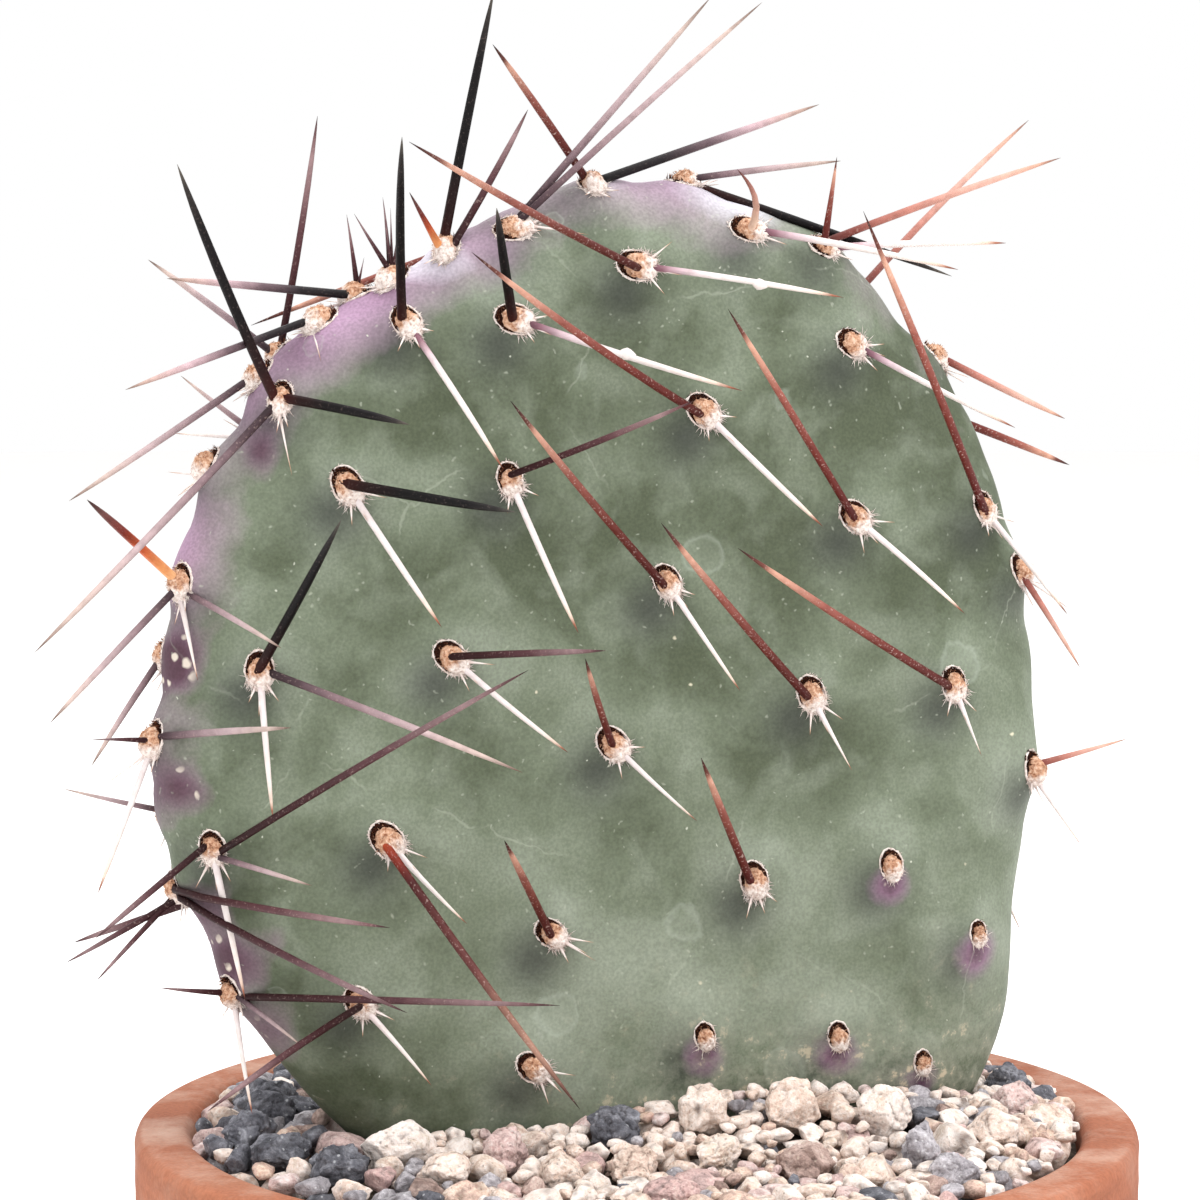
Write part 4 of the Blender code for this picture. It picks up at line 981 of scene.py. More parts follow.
# Deep purple patches, some of them painted shade below the rim's cushions and along the lower left edge:
# place from the pad's centre and reach in millimetres, and strength
PURPLE_AND_SHADE_PATCHES = (
    (-50.5, 1.0, 4.2, 1.0), (-51.0, -13.5, 4.0, 0.9), (-41.3, 24.3, 3.2, 0.85), (-37.0, 35.0, 3.0, 0.35),
    (-26.0, 43.3, 2.8, 0.45), (-48.0, -28.0, 4.5, 0.85), (-15.0, 51.0, 2.6, 0.35), (-45.0, -33.0, 4.4, 0.95),
    (-41.0, -42.0, 4.5, 0.60), (19.0, 49.5, 2.8, 0.30),
)
PATCH_DEPTH = 9.0 * MM
# How much narrower than high a patch is, and how ragged its edge is, by lumps of a size
PATCH_NARROW, PATCH_RAGGED, PATCH_LUMPS = 1.25, 0.5, 5.0 * MM
# The swelling below an areole without spines, and how purple it is
SWELL_SHIFT = np.array((0.0, 0.0, -2.4)) * MM
SWELL_REACH = 2.3 * MM
SWELL_BLUSH, SWELL_DEEP = 1.45, 0.8
# Parts of the rim that the sun tans: clock angle, spread in degrees and strength
SUN_SIDES = ((-35.0, 30.0, 1.0), (-76.0, 10.0, 0.85), (-98.0, 7.0, 0.6), (8.0, 15.0, 0.7), (42.0, 22.0, 0.28))
SUN_EDGE = 0.84
SUN_BLUSH, DEEP_BLUSH = 1.2, 1.25
BEVEL_START = 0.85
BEVEL_ROWS = 22
# The skin's relief: lumps of a size, and their share of the depth
RELIEF_LUMPS, RELIEF_SHARE = 13.0 * MM, 0.5


def skin_arrays(sides, rows):
    """Points of both faces of the smooth pad, from the middle to the rim, and their faces."""
    angles = around(sides)
    start = math.asin(BEVEL_START ** (PAD_EDGE_POWER / 2.0))
    bevel = np.sin(np.linspace(start, 0.5 * math.pi, BEVEL_ROWS + 1)[:-1]) ** (2.0 / PAD_EDGE_POWER)
    shares = np.concatenate((BEVEL_START * (np.arange(rows) + 1.0) / (rows + 1.0), bevel))
    points = [rim_points(np.degrees(angles), 0.0)]
    faces = []
    count = sides
    for side in (-1.0, 1.0):
        points.append(face_points(np.zeros(1), np.zeros(1), side))
        made = [(count, count + 1 + k, count + 1 + (k + 1) % sides) for k in range(sides)]
        for share in shares:
            reach = pad_radius(angles) * share
            points.append(face_points(reach * np.sin(angles), reach * np.cos(angles), side))
        rings = [count + 1 + row * sides for row in range(len(shares))] + [0]
        for before, after in zip(rings, rings[1:]):
            made += [face[::-1] for face in ring_faces(before, after, sides)]
        faces += made if side < 0.0 else [face[::-1] for face in made]
        count += 1 + len(shares) * sides
    return np.concatenate(points), faces


def skin_marks(points):
    """How pale the skin is from its wax and from painted light and shade, and where it is hollow and darkened
    as painted shade, tanned, deep purple or dusty.
    """
    across, back, up = points.T
    crest, lit_side, hollow, sun, deep = np.zeros((5, len(points)))
    for areole in AREOLES:
        foot = areole["foot"]
        crest = np.maximum(crest, nearness(points, foot, CREST_REACH))
        lit_side = np.maximum(lit_side, nearness(points, foot + LIT_SIDE_SHIFT, LIT_SIDE_REACH))
        # Painted shade below and to the left of each cushion
        hollow = np.maximum(hollow, nearness(points, foot + PAINTED_SHADE_SHIFT, PAINTED_SHADE_REACH))
    clock = np.arctan2(across, up)
    share = np.hypot(across, up) / pad_radius(clock)
    for middle, spread, strength in SUN_SIDES:
        sun = np.maximum(sun, strength * np.exp(-((np.degrees(clock) - middle) / spread) ** 2))
    edge = np.clip((share - SUN_EDGE) / (1.0 - SUN_EDGE), 0.0, 1.0)
    # The pale mark: wax and painted light on the crests, and painted light on the lit side of each cushion
    wax = np.maximum(CREST_WAX_AND_LIGHT * crest, LIT_SIDE_LIGHT * lit_side)
    # Broad zones of paler and darker skin, some of them painted shade and painted light
    for x, z, wide, high, gain in PALE_AND_DARK_ZONES:
        away = np.hypot((across - x * MM) / (wide * MM), (up - z * MM) / (high * MM))
        wax += gain * np.exp(-away ** 2)
    wave = fractal(points, PATCH_LUMPS, 2)
    # Deep purple, which below some cushions and along the lower left edge is painted shade
    for x, z, reach, strength in PURPLE_AND_SHADE_PATCHES:
        away = np.hypot((across - x * MM) * PATCH_NARROW, up - z * MM) / (reach * MM)
        deep = np.maximum(deep, strength * np.exp(-(away * (1.0 + PATCH_RAGGED * wave)) ** 2))
    deep *= back < PATCH_DEPTH
    blush = np.maximum(SUN_BLUSH * sun * edge, DEEP_BLUSH * deep)
    for areole in AREOLES:
        if not areole["spines"]:
            swell = nearness(points, areole["foot"] + SWELL_SHIFT, SWELL_REACH)
            blush = np.maximum(blush, SWELL_BLUSH * swell)
            deep = np.maximum(deep, SWELL_DEEP * swell)
    dusty = np.clip((across - DUST_FROM[0]) / (DUST_FROM[1] - DUST_FROM[0]), DUST_LEAST, 1.0)
    above = np.maximum(up + PAD_CENTRE[2] - BED_EDGE, 0.0)
    return {"wax": wax, "hollow": hollow, "blush": blush, "deep": deep,
            "dust": dusty * np.exp(-(above / DUST_REACH) ** 2)}


class PEAR_OT_skin(Operator):
    """Grow the pad's skin over its solid"""
    bl_idname = "pear.skin"
    bl_label = "Pad skin"

    def execute(self, context):
        settings = context.scene.pear_skin
        smooth, faces = skin_arrays(settings.sides, settings.rows)
        marks = skin_marks(smooth)
        wave = fractal(smooth, RELIEF_LUMPS, 3)
        relief = settings.relief * (RELIEF_SHARE * wave - marks["hollow"])
        raised = mound_heights(smooth)
        relief *= 1.0 - np.clip(raised / MOUND_FACE, 0.0, 1.0)
        points = PAD_CENTRE + smooth + pad_normal(smooth) * (raised + relief)[:, None]
        make_piece("pad_skin", (points, faces, marks), skin_material(settings), ["pad"])
        return {"FINISHED"}


# The areoles

FELT_SHARE = 0.85
FELT_SHIFT = 0.20 * MM
# Felt stands out further where the areoles of the rim are crowded
RIM_PROUD = 1.8
# How far an areole's floor stands out, and how rough the floor and the felt are
FLOOR_PROUD, FLOOR_ROUGH, FELT_ROUGH = 0.2 * MM, 0.08 * MM, 0.20 * MM
# Lumps of the felt: their two sizes, the finer ones' share, and how far they swell it sideways
LUMP_SIZES, FINE_LUMPS, LUMP_SWELL = (0.8 * MM, 0.28 * MM), 0.7, 0.10
# Each cushion takes its lumps from another place of the noise
FELT_OFFSETS = (0.0, 90.0)
# The share of white wool: in a cushion's middle, its growth towards the lower end, and how ragged it is
LOW_MIDDLE, LOW_SLOPE, LOW_RAGGED, LOW_JITTER = 0.45, 0.75, 0.3, (-0.2, 0.2)
DOME_SIDES = 36
DOME_ROWS = (0.0, 0.14, 0.28, 0.41, 0.53, 0.64, 0.74, 0.83, 0.91, 0.97, 1.0)
DOME_SUNK = 0.9 * MM
RIM_SIDES = 30
RIM_TURNS = 5
RIM_WOOL = 0.13 * MM
# The woolly edge: how its thickness varies, how far it wanders in millimetres, and how it rises
EDGE_SPREAD, EDGE_WANDER, EDGE_RISE = (0.45, 1.25), (-0.06, 0.06), (0.2, 1.3)
HAIR_SHARES = np.array((0.0, 0.55, 1.0))
HAIR_TAPER = 0.75
WOOL_RADIUS = 0.055 * MM
FELT_RADIUS = 0.05 * MM
GLOCHID_RADIUS = 0.05 * MM
BRISTLE_RADIUS = 0.22 * MM
# What the hairs are drawn from, angles in degrees and lengths in millimetres. Every third hair of the wool is
# in the beard below the cushion, and the others are all round it: turn, lift, root as a share, and length
BEARD_EVERY = 3
BEARD = ((200.0, 340.0), (8.0, 40.0), (0.70, 1.05), (0.5, 1.3))
FRINGE = ((0.0, 360.0), (5.0, 75.0), (0.88, 1.05), (0.18, 0.50))
WOOL_SWIRL, WOOL_BEND = (-0.9, 0.9), ((-0.3, 0.3), (-0.3, 0.1), (-0.25, 0.05))
# Felt hairs: lean, rise, bend, droop, length, and how deep the root lies
FELT_LEAN, FELT_RISE, FELT_BEND, FELT_DROOP = (-0.9, 0.9), (0.4, 1.2), (-0.4, 0.4), -0.2
FELT_LENGTH, FELT_ROOT = (0.25, 0.5), 0.1 * MM
# Glochids: turn, root as a share, lean across and along, length, and how high the root lies
GLOCHID_TURN, GLOCHID_REACH = (40.0, 170.0), (0.70, 0.95)
GLOCHID_LEAN, GLOCHID_LENGTH, GLOCHID_ROOT = ((-0.35, 0.35), (-0.1, 0.45)), (0.4, 0.9), 0.1 * MM
# Areoles without spines are smaller and have a third of the wool
BARE_SIZE = 0.80
BARE_WOOL = 3
SIZE_SPREAD = 0.10


def to_object(areole, points):
    """Points in an areole's own directions as points of the object."""
    return areole["origin"] + points @ areole["axes"].T


def clamp(value):
    """A number held between 0 and 1."""
    return min(1.0, max(0.0, value))


def dome(areole, half_length, half_width, shift, proud, rough, draw):
    """A lumpy oval dome on an areole, its edge sunk in the skin."""
    turns = around(DOME_SIDES)
    rows = []
    for size in DOME_ROWS[1:]:
        height = proud * math.sqrt(max(0.0, 1.0 - size ** 2))
        rows.append(level_ring(turns, half_width * size, half_length * size, height) + (0.0, shift, 0.0))
    skirt = rows[-1] - np.array((0.0, 0.0, DOME_SUNK))
    points = np.concatenate([np.array(((0.0, shift, proud),))] + rows + [skirt])
    offset = np.array([draw.uniform(*FELT_OFFSETS) for _ in range(3)])
    coarse, fine = (fractal(points + offset, size, 2) for size in LUMP_SIZES)
    bumps = coarse + FINE_LUMPS * fine
    low = np.clip(LOW_MIDDLE - LOW_SLOPE * points[:, 1] / half_length + LOW_RAGGED * bumps, 0.0, 1.0)
    points[:, 2] += rough * bumps
    points[:, :2] *= (1.0 + LUMP_SWELL * bumps)[:, None]
    return to_object(areole, settle(areole, points)), crown_faces(len(DOME_ROWS), DOME_SIDES), {"low": low}


def hair(areole, root, direction, length, radius, bend, low=0.0):
    """A fine three-sided hair that bends, in an areole's own directions: points, faces and marks."""
    ring = cross_ring(direction, 3) * radius
    root = settle(areole, root)
    centres = root + np.outer(HAIR_SHARES * length, direction) + np.outer(HAIR_SHARES ** 2 * length, bend)
    points = np.concatenate((centres[0] + ring, centres[1] + ring * HAIR_TAPER, centres[2:]))
    faces = [(2, 1, 0)] + ring_faces(0, 3, 3) + [(3, 4, 6), (4, 5, 6), (5, 3, 6)]
    marks = {"along": np.repeat(HAIR_SHARES, (3, 3, 1)), "tint": np.zeros(7), "low": np.full(7, low)}
    return to_object(areole, points), faces, marks


def wool(areole, half_length, half_width, count, draw):
    """The thin woolly edge of an areole and its hairs, longest below, where they hang as a beard."""
    turns = around(RIM_SIDES)
    spread = np.array([draw.uniform(*EDGE_SPREAD) for _ in range(RIM_SIDES)])
    wander = np.array([draw.uniform(*EDGE_WANDER) for _ in range(RIM_SIDES)]) * MM
    rows = []
    for turn in around(RIM_TURNS):
        out = RIM_WOOL * math.cos(turn) * spread + wander
        rise = RIM_WOOL * (EDGE_RISE[0] + EDGE_RISE[1] * math.sin(turn)) * spread
        rows.append(level_ring(turns, half_width + out, half_length + out, rise))
    points = to_object(areole, settle(areole, np.concatenate(rows)))
    faces = []
    for row in range(RIM_TURNS):
        faces += ring_faces(row * RIM_SIDES, (row + 1) % RIM_TURNS * RIM_SIDES, RIM_SIDES)
    blank = np.zeros(len(points))
    hairs = [(points, faces, {"along": blank, "tint": blank, "low": blank})]
    for number in range(count):
        turn_range, lift_range, root_range, length_range = FRINGE if number % BEARD_EVERY else BEARD
        turn = math.radians(draw.uniform(*turn_range))
        out = np.array((math.cos(turn), math.sin(turn), 0.0))
        lift = math.radians(draw.uniform(*lift_range))
        swirl = np.array((-out[1], out[0], 0.0)) * draw.uniform(*WOOL_SWIRL)
        direction = unit(out * math.cos(lift) + swirl + np.array((0.0, 0.0, math.sin(lift))))
        root = np.array((half_width * out[0], half_length * out[1], 0.0)) * draw.uniform(*root_range)
        length = draw.uniform(*length_range) * MM
        bend = np.array([draw.uniform(*span) for span in WOOL_BEND])
        hairs.append(hair(areole, root, direction, length, WOOL_RADIUS, bend))
    return hairs


def felt_hairs(areole, half_length, half_width, proud, count, draw):
    """Short matted hairs that stand from the felt."""
    grown = []
    for _ in range(count):
        reach = math.sqrt(draw.random())
        turn = draw.uniform(0.0, TURN)
        x, y = reach * math.cos(turn), reach * math.sin(turn)
        root = np.array((half_width * x, half_length * y - FELT_SHIFT,
                         proud * math.sqrt(1.0 - reach ** 2) - FELT_ROOT))
        lean = np.array((x + draw.uniform(*FELT_LEAN), y + draw.uniform(*FELT_LEAN),
                         draw.uniform(*FELT_RISE)))
        bend = np.array((draw.uniform(*FELT_BEND), draw.uniform(*FELT_BEND), FELT_DROOP))
        low = clamp(LOW_MIDDLE - LOW_SLOPE * y + draw.uniform(*LOW_JITTER))
        length = draw.uniform(*FELT_LENGTH) * MM
        grown.append(hair(areole, root, unit(lean), length, FELT_RADIUS, bend, low))
    return grown


def glochids(areole, half_length, half_width, count, draw):
    """Short stiff bristles that stand in the dark hollow at an areole's upper end."""
    grown = []
    for _ in range(count):
        turn = math.radians(draw.uniform(*GLOCHID_TURN))
        reach = draw.uniform(*GLOCHID_REACH)
        x, y = half_width * reach * math.cos(turn), half_length * reach * math.sin(turn)
        root = np.array((x, y, GLOCHID_ROOT))
        direction = unit(np.array((*(draw.uniform(*span) for span in GLOCHID_LEAN), 1.0)))
        length = draw.uniform(*GLOCHID_LENGTH) * MM
        grown.append(hair(areole, root, direction, length, GLOCHID_RADIUS, np.zeros(3)))
    return grown


class PEAR_OT_areoles(Operator):
    """Grow the felt cushions with their dark hollows, wool and fine bristles"""
    bl_idname = "pear.areoles"
    bl_label = "Areoles"

    def execute(self, context):
        settings = context.scene.pear_areoles
        draw = random.Random(context.scene.pear_spines.seed)
        beds, felts, tops, wools, tufts = [], [], [], [], []
        for number, areole in enumerate(AREOLES):
            bare = not areole["spines"]
            size = (BARE_SIZE if bare else 1.0) * draw.uniform(1.0 - SIZE_SPREAD, 1.0 + SIZE_SPREAD)
            half_length, half_width = 0.5 * settings.length * size, 0.5 * settings.width * size
            on_rim = len(FRONT_AREOLES) <= number < len(FRONT_AREOLES) + len(RIM_AREOLES)
            proud = settings.proud * size * (RIM_PROUD if on_rim else 1.0)
            felt_length, felt_width = half_length * FELT_SHARE, half_width * FELT_SHARE
            beds.append(dome(areole, half_length, half_width, 0.0, FLOOR_PROUD, FLOOR_ROUGH, draw))
            felts.append(dome(areole, felt_length, felt_width, -2.0 * FELT_SHIFT, proud, FELT_ROUGH, draw))
            tops += felt_hairs(areole, felt_length, felt_width, proud, settings.felt_hairs, draw)
            hairs = settings.wool_hairs // (BARE_WOOL if bare else 1)
            wools += wool(areole, half_length, half_width, hairs, draw)
            tufts += glochids(areole, half_length, half_width, settings.glochids, draw)
        white = [(0.30, "AE958B"), (0.48, settings.wool), (0.75, "FAF4EF")]
        bed = felt_material("Dark floor of an areole", 0.5, [(0.35, "120806"), (0.65, "35190F")], white)
        # The felt's dark stop is partly painted shade in its pits and its pale stop partly painted highlight
        # on its lumps
        felt = felt_material("Areole felt", 0.40, [(0.30, "7B4B35"), (0.50, settings.felt), (0.72, "E2C6B0")],
                             white)
        fleece = felt_material("Areole wool", 0.4, white)
        horn = horn_material("Glochid bristle", [(0.0, "1C0B07"), (0.6, "532814"), (1.0, "A86E4B")], 0.5, 0.0)
        for name, forms, material in (("areole_floor", beds, bed), ("areole_felt", felts, felt),
                                      ("felt_hairs", tops, felt), ("areole_wool", wools, fleece),
                                      ("glochids", tufts, horn)):
            make_piece(name, gather(forms), material, ["pad"])
        return {"FINISHED"}


# The spines

# White spines leave an areole at its lower end, and the maroon ones are paler on the pad's right
LOW_ROOT = np.array((0.0, -1.3, 0.05)) * MM
WARM_FROM = -10.0 * MM
WARM_REACH = 35.0 * MM
# A spine that points up its own areole leaves it nearer the lower end
ROOT_SLIDE = 1.5 * MM
# Its hidden end goes down into the cushion rather than straight back, as shares of the depth
BURIED_BACK, BURIED_DOWN = 0.35, 0.85
RUSSET_LENGTH = 30.0 * MM
ASH_LEFT = -0.8
ROSE_FROM = 12.0 * MM
# White spines have a mauve root near the top of the pad; lower down they are as white there as at this share
MAUVE_ABOVE = 33.0 * MM
WHITE_FROM = 0.30
# Short dark spines of the rim's crowded areoles: the areole's place in the list, heading, lift and length
SHORT_SPINES = ((40, 357, 8, 8.0), (40, 350, 14, 7.0), (40, 5, 10, 5.5), (41, 9, 16, 4.5))
SHORT_THICKNESS = 0.62 * MM
# A spine that bows strongly: the areole's and the spine's places in their lists, and the bow by the length
BENT_SPINES = {(0, 0): np.array((0.12, 0.0, 0.0))}
# How far from its root a spine is tested against the skin, how deep it may lie, how far it then clears the
# skin, and the length of its bend at the root
ROOT_TESTED_AT = np.arange(2.0, 12.5, 0.5) * MM
ROOT_LET = 0.25 * MM
ROOT_CLEAR = 0.8 * MM
ROOT_BEND = 1.2 * MM
# A plain cone's thickness at the root, and where it would end
CONE_SIZE, CONE_END = 0.85, 1.02
# How a spine's thickness and tint vary, and how much paler the warm side is
THICKNESS_SPREAD, TINT_SPREAD, WARM_TINT = (0.92, 1.08), (0.0, 0.3), 0.55
# A knot's length and how far it stands to the side, as shares of its spine's thickness
KNOT_LENGTH, KNOT_SHIFT = 2.2, 0.12
# Even tint of knots and fine bristles
EVEN_TINT = 0.3
# Fine bristles: their fan and how it varies and their lift in degrees, their length in millimetres, and their
# roots as shares of the cushion
BRISTLE_FAN, BRISTLE_STRAY, BRISTLE_LIFT, BRISTLE_LENGTH = 38.0, (-12.0, 12.0), (16.0, 30.0), (1.7, 3.3)
BRISTLE_SIDES, BRISTLE_ROOT = 6, (0.40, 0.44, 0.1 * MM)


def root_rise(root, direction):
    """How far a spine has to bend outwards near its root so that it clears the curve of the skin."""
    points = root + np.outer(ROOT_TESTED_AT, direction) - PAD_CENTRE
    level = pad_level(points)
    normals = pad_normal(points)
    slope = (pad_level(points + normals * NORMAL_STEP) - level) / NORMAL_STEP
    depth = mound_heights(points) - level / slope
    worst = int(np.argmax(depth))
    return normals[worst] * (depth[worst] + ROOT_CLEAR if depth[worst] > ROOT_LET else 0.0)


def spine_form(root, direction, length, thickness, bow, sides, tint, rise=(0.0, 0.0, 0.0), buried=None):
    """A round spine, nearly even in thickness up to its last third, which bows a little. Buried is the way
    from its root to its hidden end."""
    shares = np.array([max(share, -SPINE_SUNK / length) for share, _ in SPINE_SHAPE])
    sag = np.clip(shares, 0.0, 1.0)
    centres = root + np.outer(shares * length, direction) + np.outer(4.0 * sag * (1.0 - sag) * length, bow)
    centres += np.outer((1.0 - np.exp(-sag * length / ROOT_BEND)) * (1.0 - sag), rise)
    if buried is not None:
        centres[0] = root + buried
    even = clamp((length - CONE_LENGTHS[0]) / (CONE_LENGTHS[1] - CONE_LENGTHS[0]))
    radii = [0.5 * thickness * (even * size + (1.0 - even) * CONE_SIZE * (CONE_END - max(share, 0.0)))
             for share, size in SPINE_SHAPE]
    points, faces = tube(centres, radii, direction, sides)
    return points, faces, {"along": np.repeat(sag, sides), "tint": np.full(len(points), tint)}


def horn_kind(kind, root, direction, length):
    """The colour of horn that a spine has, which changes with its place and side."""
    if kind == "dark" and root[0] < WARM_FROM + PAD_CENTRE[0]:
        return "maroon"
    if kind == "black" and direction[0] < ASH_LEFT:
        return "ash"
    if kind == "pale" and root[0] > ROSE_FROM:
        return "rose"
    if kind == "ember" and length > RUSSET_LENGTH:
        return "russet"
    return kind


def knot_form(root, direction, length, thickness, share, sides):
    """A swollen knot on a spine."""
    places = np.array([place for place, _ in KNOT_SHAPE])
    centres = root + np.outer(share * length + (places - 0.5) * KNOT_LENGTH * thickness, direction)
    points, faces = tube(centres, [0.5 * thickness * size for _, size in KNOT_SHAPE], direction, sides)
    points += side_axes(direction)[0] * KNOT_SHIFT * thickness
    return points, faces, {"along": np.full(len(points), 0.5), "tint": np.full(len(points), EVEN_TINT)}


def bristle_forms(areole, settings, draw):
    """Fine bristles that spread below an areole."""
    grown = []
    for place in range(settings.bristles):
        fan = (place - 0.5 * (settings.bristles - 1)) * BRISTLE_FAN + draw.uniform(*BRISTLE_STRAY)
        turn = math.radians(fan - 90.0)
        lift = math.radians(draw.uniform(*BRISTLE_LIFT))
        x, y = math.cos(turn), math.sin(turn)
        direction = np.array((x * math.cos(lift), y * math.cos(lift), math.sin(lift)))
        wide, high, rise = BRISTLE_ROOT
        root = settle(areole, np.array((wide * settings.width * x, high * settings.length * y, rise)))
        length = draw.uniform(*BRISTLE_LENGTH) * MM
        grown.append(spine_form(areole["origin"] + areole["axes"] @ root, areole["axes"] @ direction, length,
                                2.0 * BRISTLE_RADIUS, np.zeros(3), BRISTLE_SIDES, EVEN_TINT))
    return grown


class PEAR_OT_spines(Operator):
    """Grow the long spines, one piece for each colour of horn, and the fine bristles"""
    bl_idname = "pear.spines"
    bl_label = "Spines"

    def execute(self, context):
        settings = context.scene.pear_spines
        draw = random.Random(settings.seed)
        forms = {kind: [] for kind in SPINE_KINDS}
        for number, areole in enumerate(AREOLES):
            for place, (root, direction, length, kind) in enumerate(areole["spines"]):
                kind = horn_kind(kind, root, direction, length)
                thickness = SPINE_KINDS[kind][1] * MM * draw.uniform(*THICKNESS_SPREAD)
                tip = root + direction * length
                buried = None
                if kind in ("white", "small"):
                    root = areole["origin"] + areole["axes"] @ LOW_ROOT
                else:
                    along = areole["axes"][:, 1]
                    root = root - along * ROOT_SLIDE * max(0.0, direction.dot(along))
                    buried = -SPINE_SUNK * (BURIED_BACK * direction + BURIED_DOWN * areole["axes"][:, 2])
                length = float(np.linalg.norm(tip - root))
                direction = unit(tip - root)
                warm = clamp((root[0] - WARM_FROM) / WARM_REACH) if kind == "dark" else 0.0
                across, up = side_axes(direction)
                bow = 0.5 * settings.bend * (across * draw.uniform(-1.0, 1.0) + up * draw.uniform(-1.0, 1.0))
                bow = BENT_SPINES.get((number, place), bow)
                tint = WARM_TINT * warm + draw.uniform(*TINT_SPREAD)
                form = spine_form(root, direction, length, thickness, bow, settings.sides, tint,
                                  root_rise(root, direction), buried)
                if kind == "white" and root[2] < PAD_CENTRE[2] + MAUVE_ABOVE:
                    form[2]["along"] = np.maximum(form[2]["along"], WHITE_FROM)
                forms[kind].append(form)
                if kind == "white" and number in SPINE_KNOTS:
                    forms[kind].append(knot_form(root, direction, length, thickness, SPINE_KNOTS[number],
                                                 settings.sides))
            if areole["spines"]:
                forms["small"] += bristle_forms(areole, context.scene.pear_areoles, draw)
        for number, heading, lift, length in SHORT_SPINES:
            forms["maroon"].append(spine_form(AREOLES[number]["origin"], spine_direction(heading, lift, -1.0),
                                              length * MM, SHORT_THICKNESS, np.zeros(3), settings.sides, 0.0))
        for kind, (name, _, roughness, flecks, stops) in SPINE_KINDS.items():
            make_piece(f"spines_{kind}", gather(forms[kind]), horn_material(name, stops, roughness, flecks),
                       ["pad"])
        return {"FINISHED"}


# Stones and grit

# Breaks, small bumps and lumps, by their size on a ball of radius 1, and the small bumps' share
BREAK_SIZE, BUMP_SIZE, LUMP_SIZE = 0.75, 0.2, 0.62
BUMP_SHARE = 0.35
# How the painted shade deepens with the breaks and with the creases between lumps: slope and start
BREAK_SHADE, LUMP_SHADE = (-2.4, -0.7), (-2.2, -0.3)
# Each stone takes its breaks from another place of the noise
STONE_OFFSETS = (0.0, 50.0)


def ball(detail):
    """Points and faces of a round ball made of even triangles."""
    mesh = bpy.data.meshes.new("ball")
    shape = bmesh.new()
    bmesh.ops.create_icosphere(shape, subdivisions=detail, radius=1.0)
    shape.to_mesh(mesh)
    shape.free()
    points = np.array([vert.co for vert in mesh.vertices])
    faces = [tuple(face.vertices) for face in mesh.polygons]
    bpy.data.meshes.remove(mesh)
    return points, faces


def break_ball(points, draw, soft, rough, lumpy, cut_depth=STONE_CUT_DEPTH):
    """Breaks a round ball to a stone by pressing it onto random planes: its points and how much painted shade
    its creases get.
    """
    planes = []
    for cut in range(STONE_CUTS + STONE_CHIPS):
        direction = Vector([draw.gauss(0, 1) for _ in range(3)]).normalized()
        planes.append((np.array(direction), draw.uniform(*(cut_depth if cut < STONE_CUTS else CHIP_DEPTH))))
    points = points.copy()
    for direction, reach in planes:
        over = points @ direction - reach
        over = soft * np.logaddexp(0.0, over / soft)
        points -= np.outer(over, direction)
    shift = np.array([draw.uniform(*STONE_OFFSETS) for _ in range(3)])
    breaks = fractal(points + shift, BREAK_SIZE, 3, "VORONOI_F2F1") - BREAKS_LEVEL
    bumps = rough * breaks + BUMP_SHARE * rough * fractal(points + shift, BUMP_SIZE, 2)
    crease_shading = BREAK_SHADE[0] * breaks + BREAK_SHADE[1]
    if lumpy:
        rounded_lumps = lumps(points + shift, LUMP_SIZE)
        bumps += lumpy * rounded_lumps
        crease_shading = LUMP_SHADE[0] * rounded_lumps + LUMP_SHADE[1]
    directions = points / np.linalg.norm(points, axis=1, keepdims=True)
    return points + directions * bumps[:, None], np.clip(crease_shading, 0.0, 1.0)


def place_stone(points, centre, sizes, turn):
    """Stretches, turns and places a broken ball."""
    cosine, sine = math.cos(turn), math.sin(turn)
    stretched = points * sizes
    x = stretched[:, 0] * cosine - stretched[:, 1] * sine
    y = stretched[:, 0] * sine + stretched[:, 1] * cosine
    return np.stack((x, y, stretched[:, 2]), axis=1) + centre


class PEAR_OT_stones(Operator):
    """Break the larger loose stones to shape, one piece for each kind of stone"""
    bl_idname = "pear.stones"
    bl_label = "Loose stones"

    def execute(self, context):
        points, faces = ball(context.scene.pear_grit.detail)
        for kind, (name, stops, speck, speck_size, soft, rough, lumpy, slot) in STONE_KINDS.items():
            forms = []
            nodes = [stone for stone in STONES if stone[0].split("_")[1] == kind]
            for node, x, y, length, width, height, turn in nodes:
                draw = random.Random(node)
                sizes = np.array((length, width, height)) * 0.5 * STONE_FULLNESS * MM
                level = bed_height(x * MM, y * MM) + sizes[2] * (1.0 - 2.0 * STONE_SINK)
                broken, crease_shading = break_ball(points, draw, soft, rough, lumpy)
                placed = place_stone(broken, np.array((x * MM, y * MM, level)), sizes, math.radians(turn))
                forms.append((placed, faces, {"crease_shade": crease_shading, "tint": np.full(len(placed), draw.random())}))
            make_piece(f"{kind}_stones", gather(forms), stone_material(name, stops, speck, speck_size),
                       [stone[0] for stone in nodes])
        return {"FINISHED"}


# The clear space round the pad's foot, by the pad's own level, and the part of a stone that takes no grains
PAD_CLEAR = 0.03
STONE_COVERED = 0.8


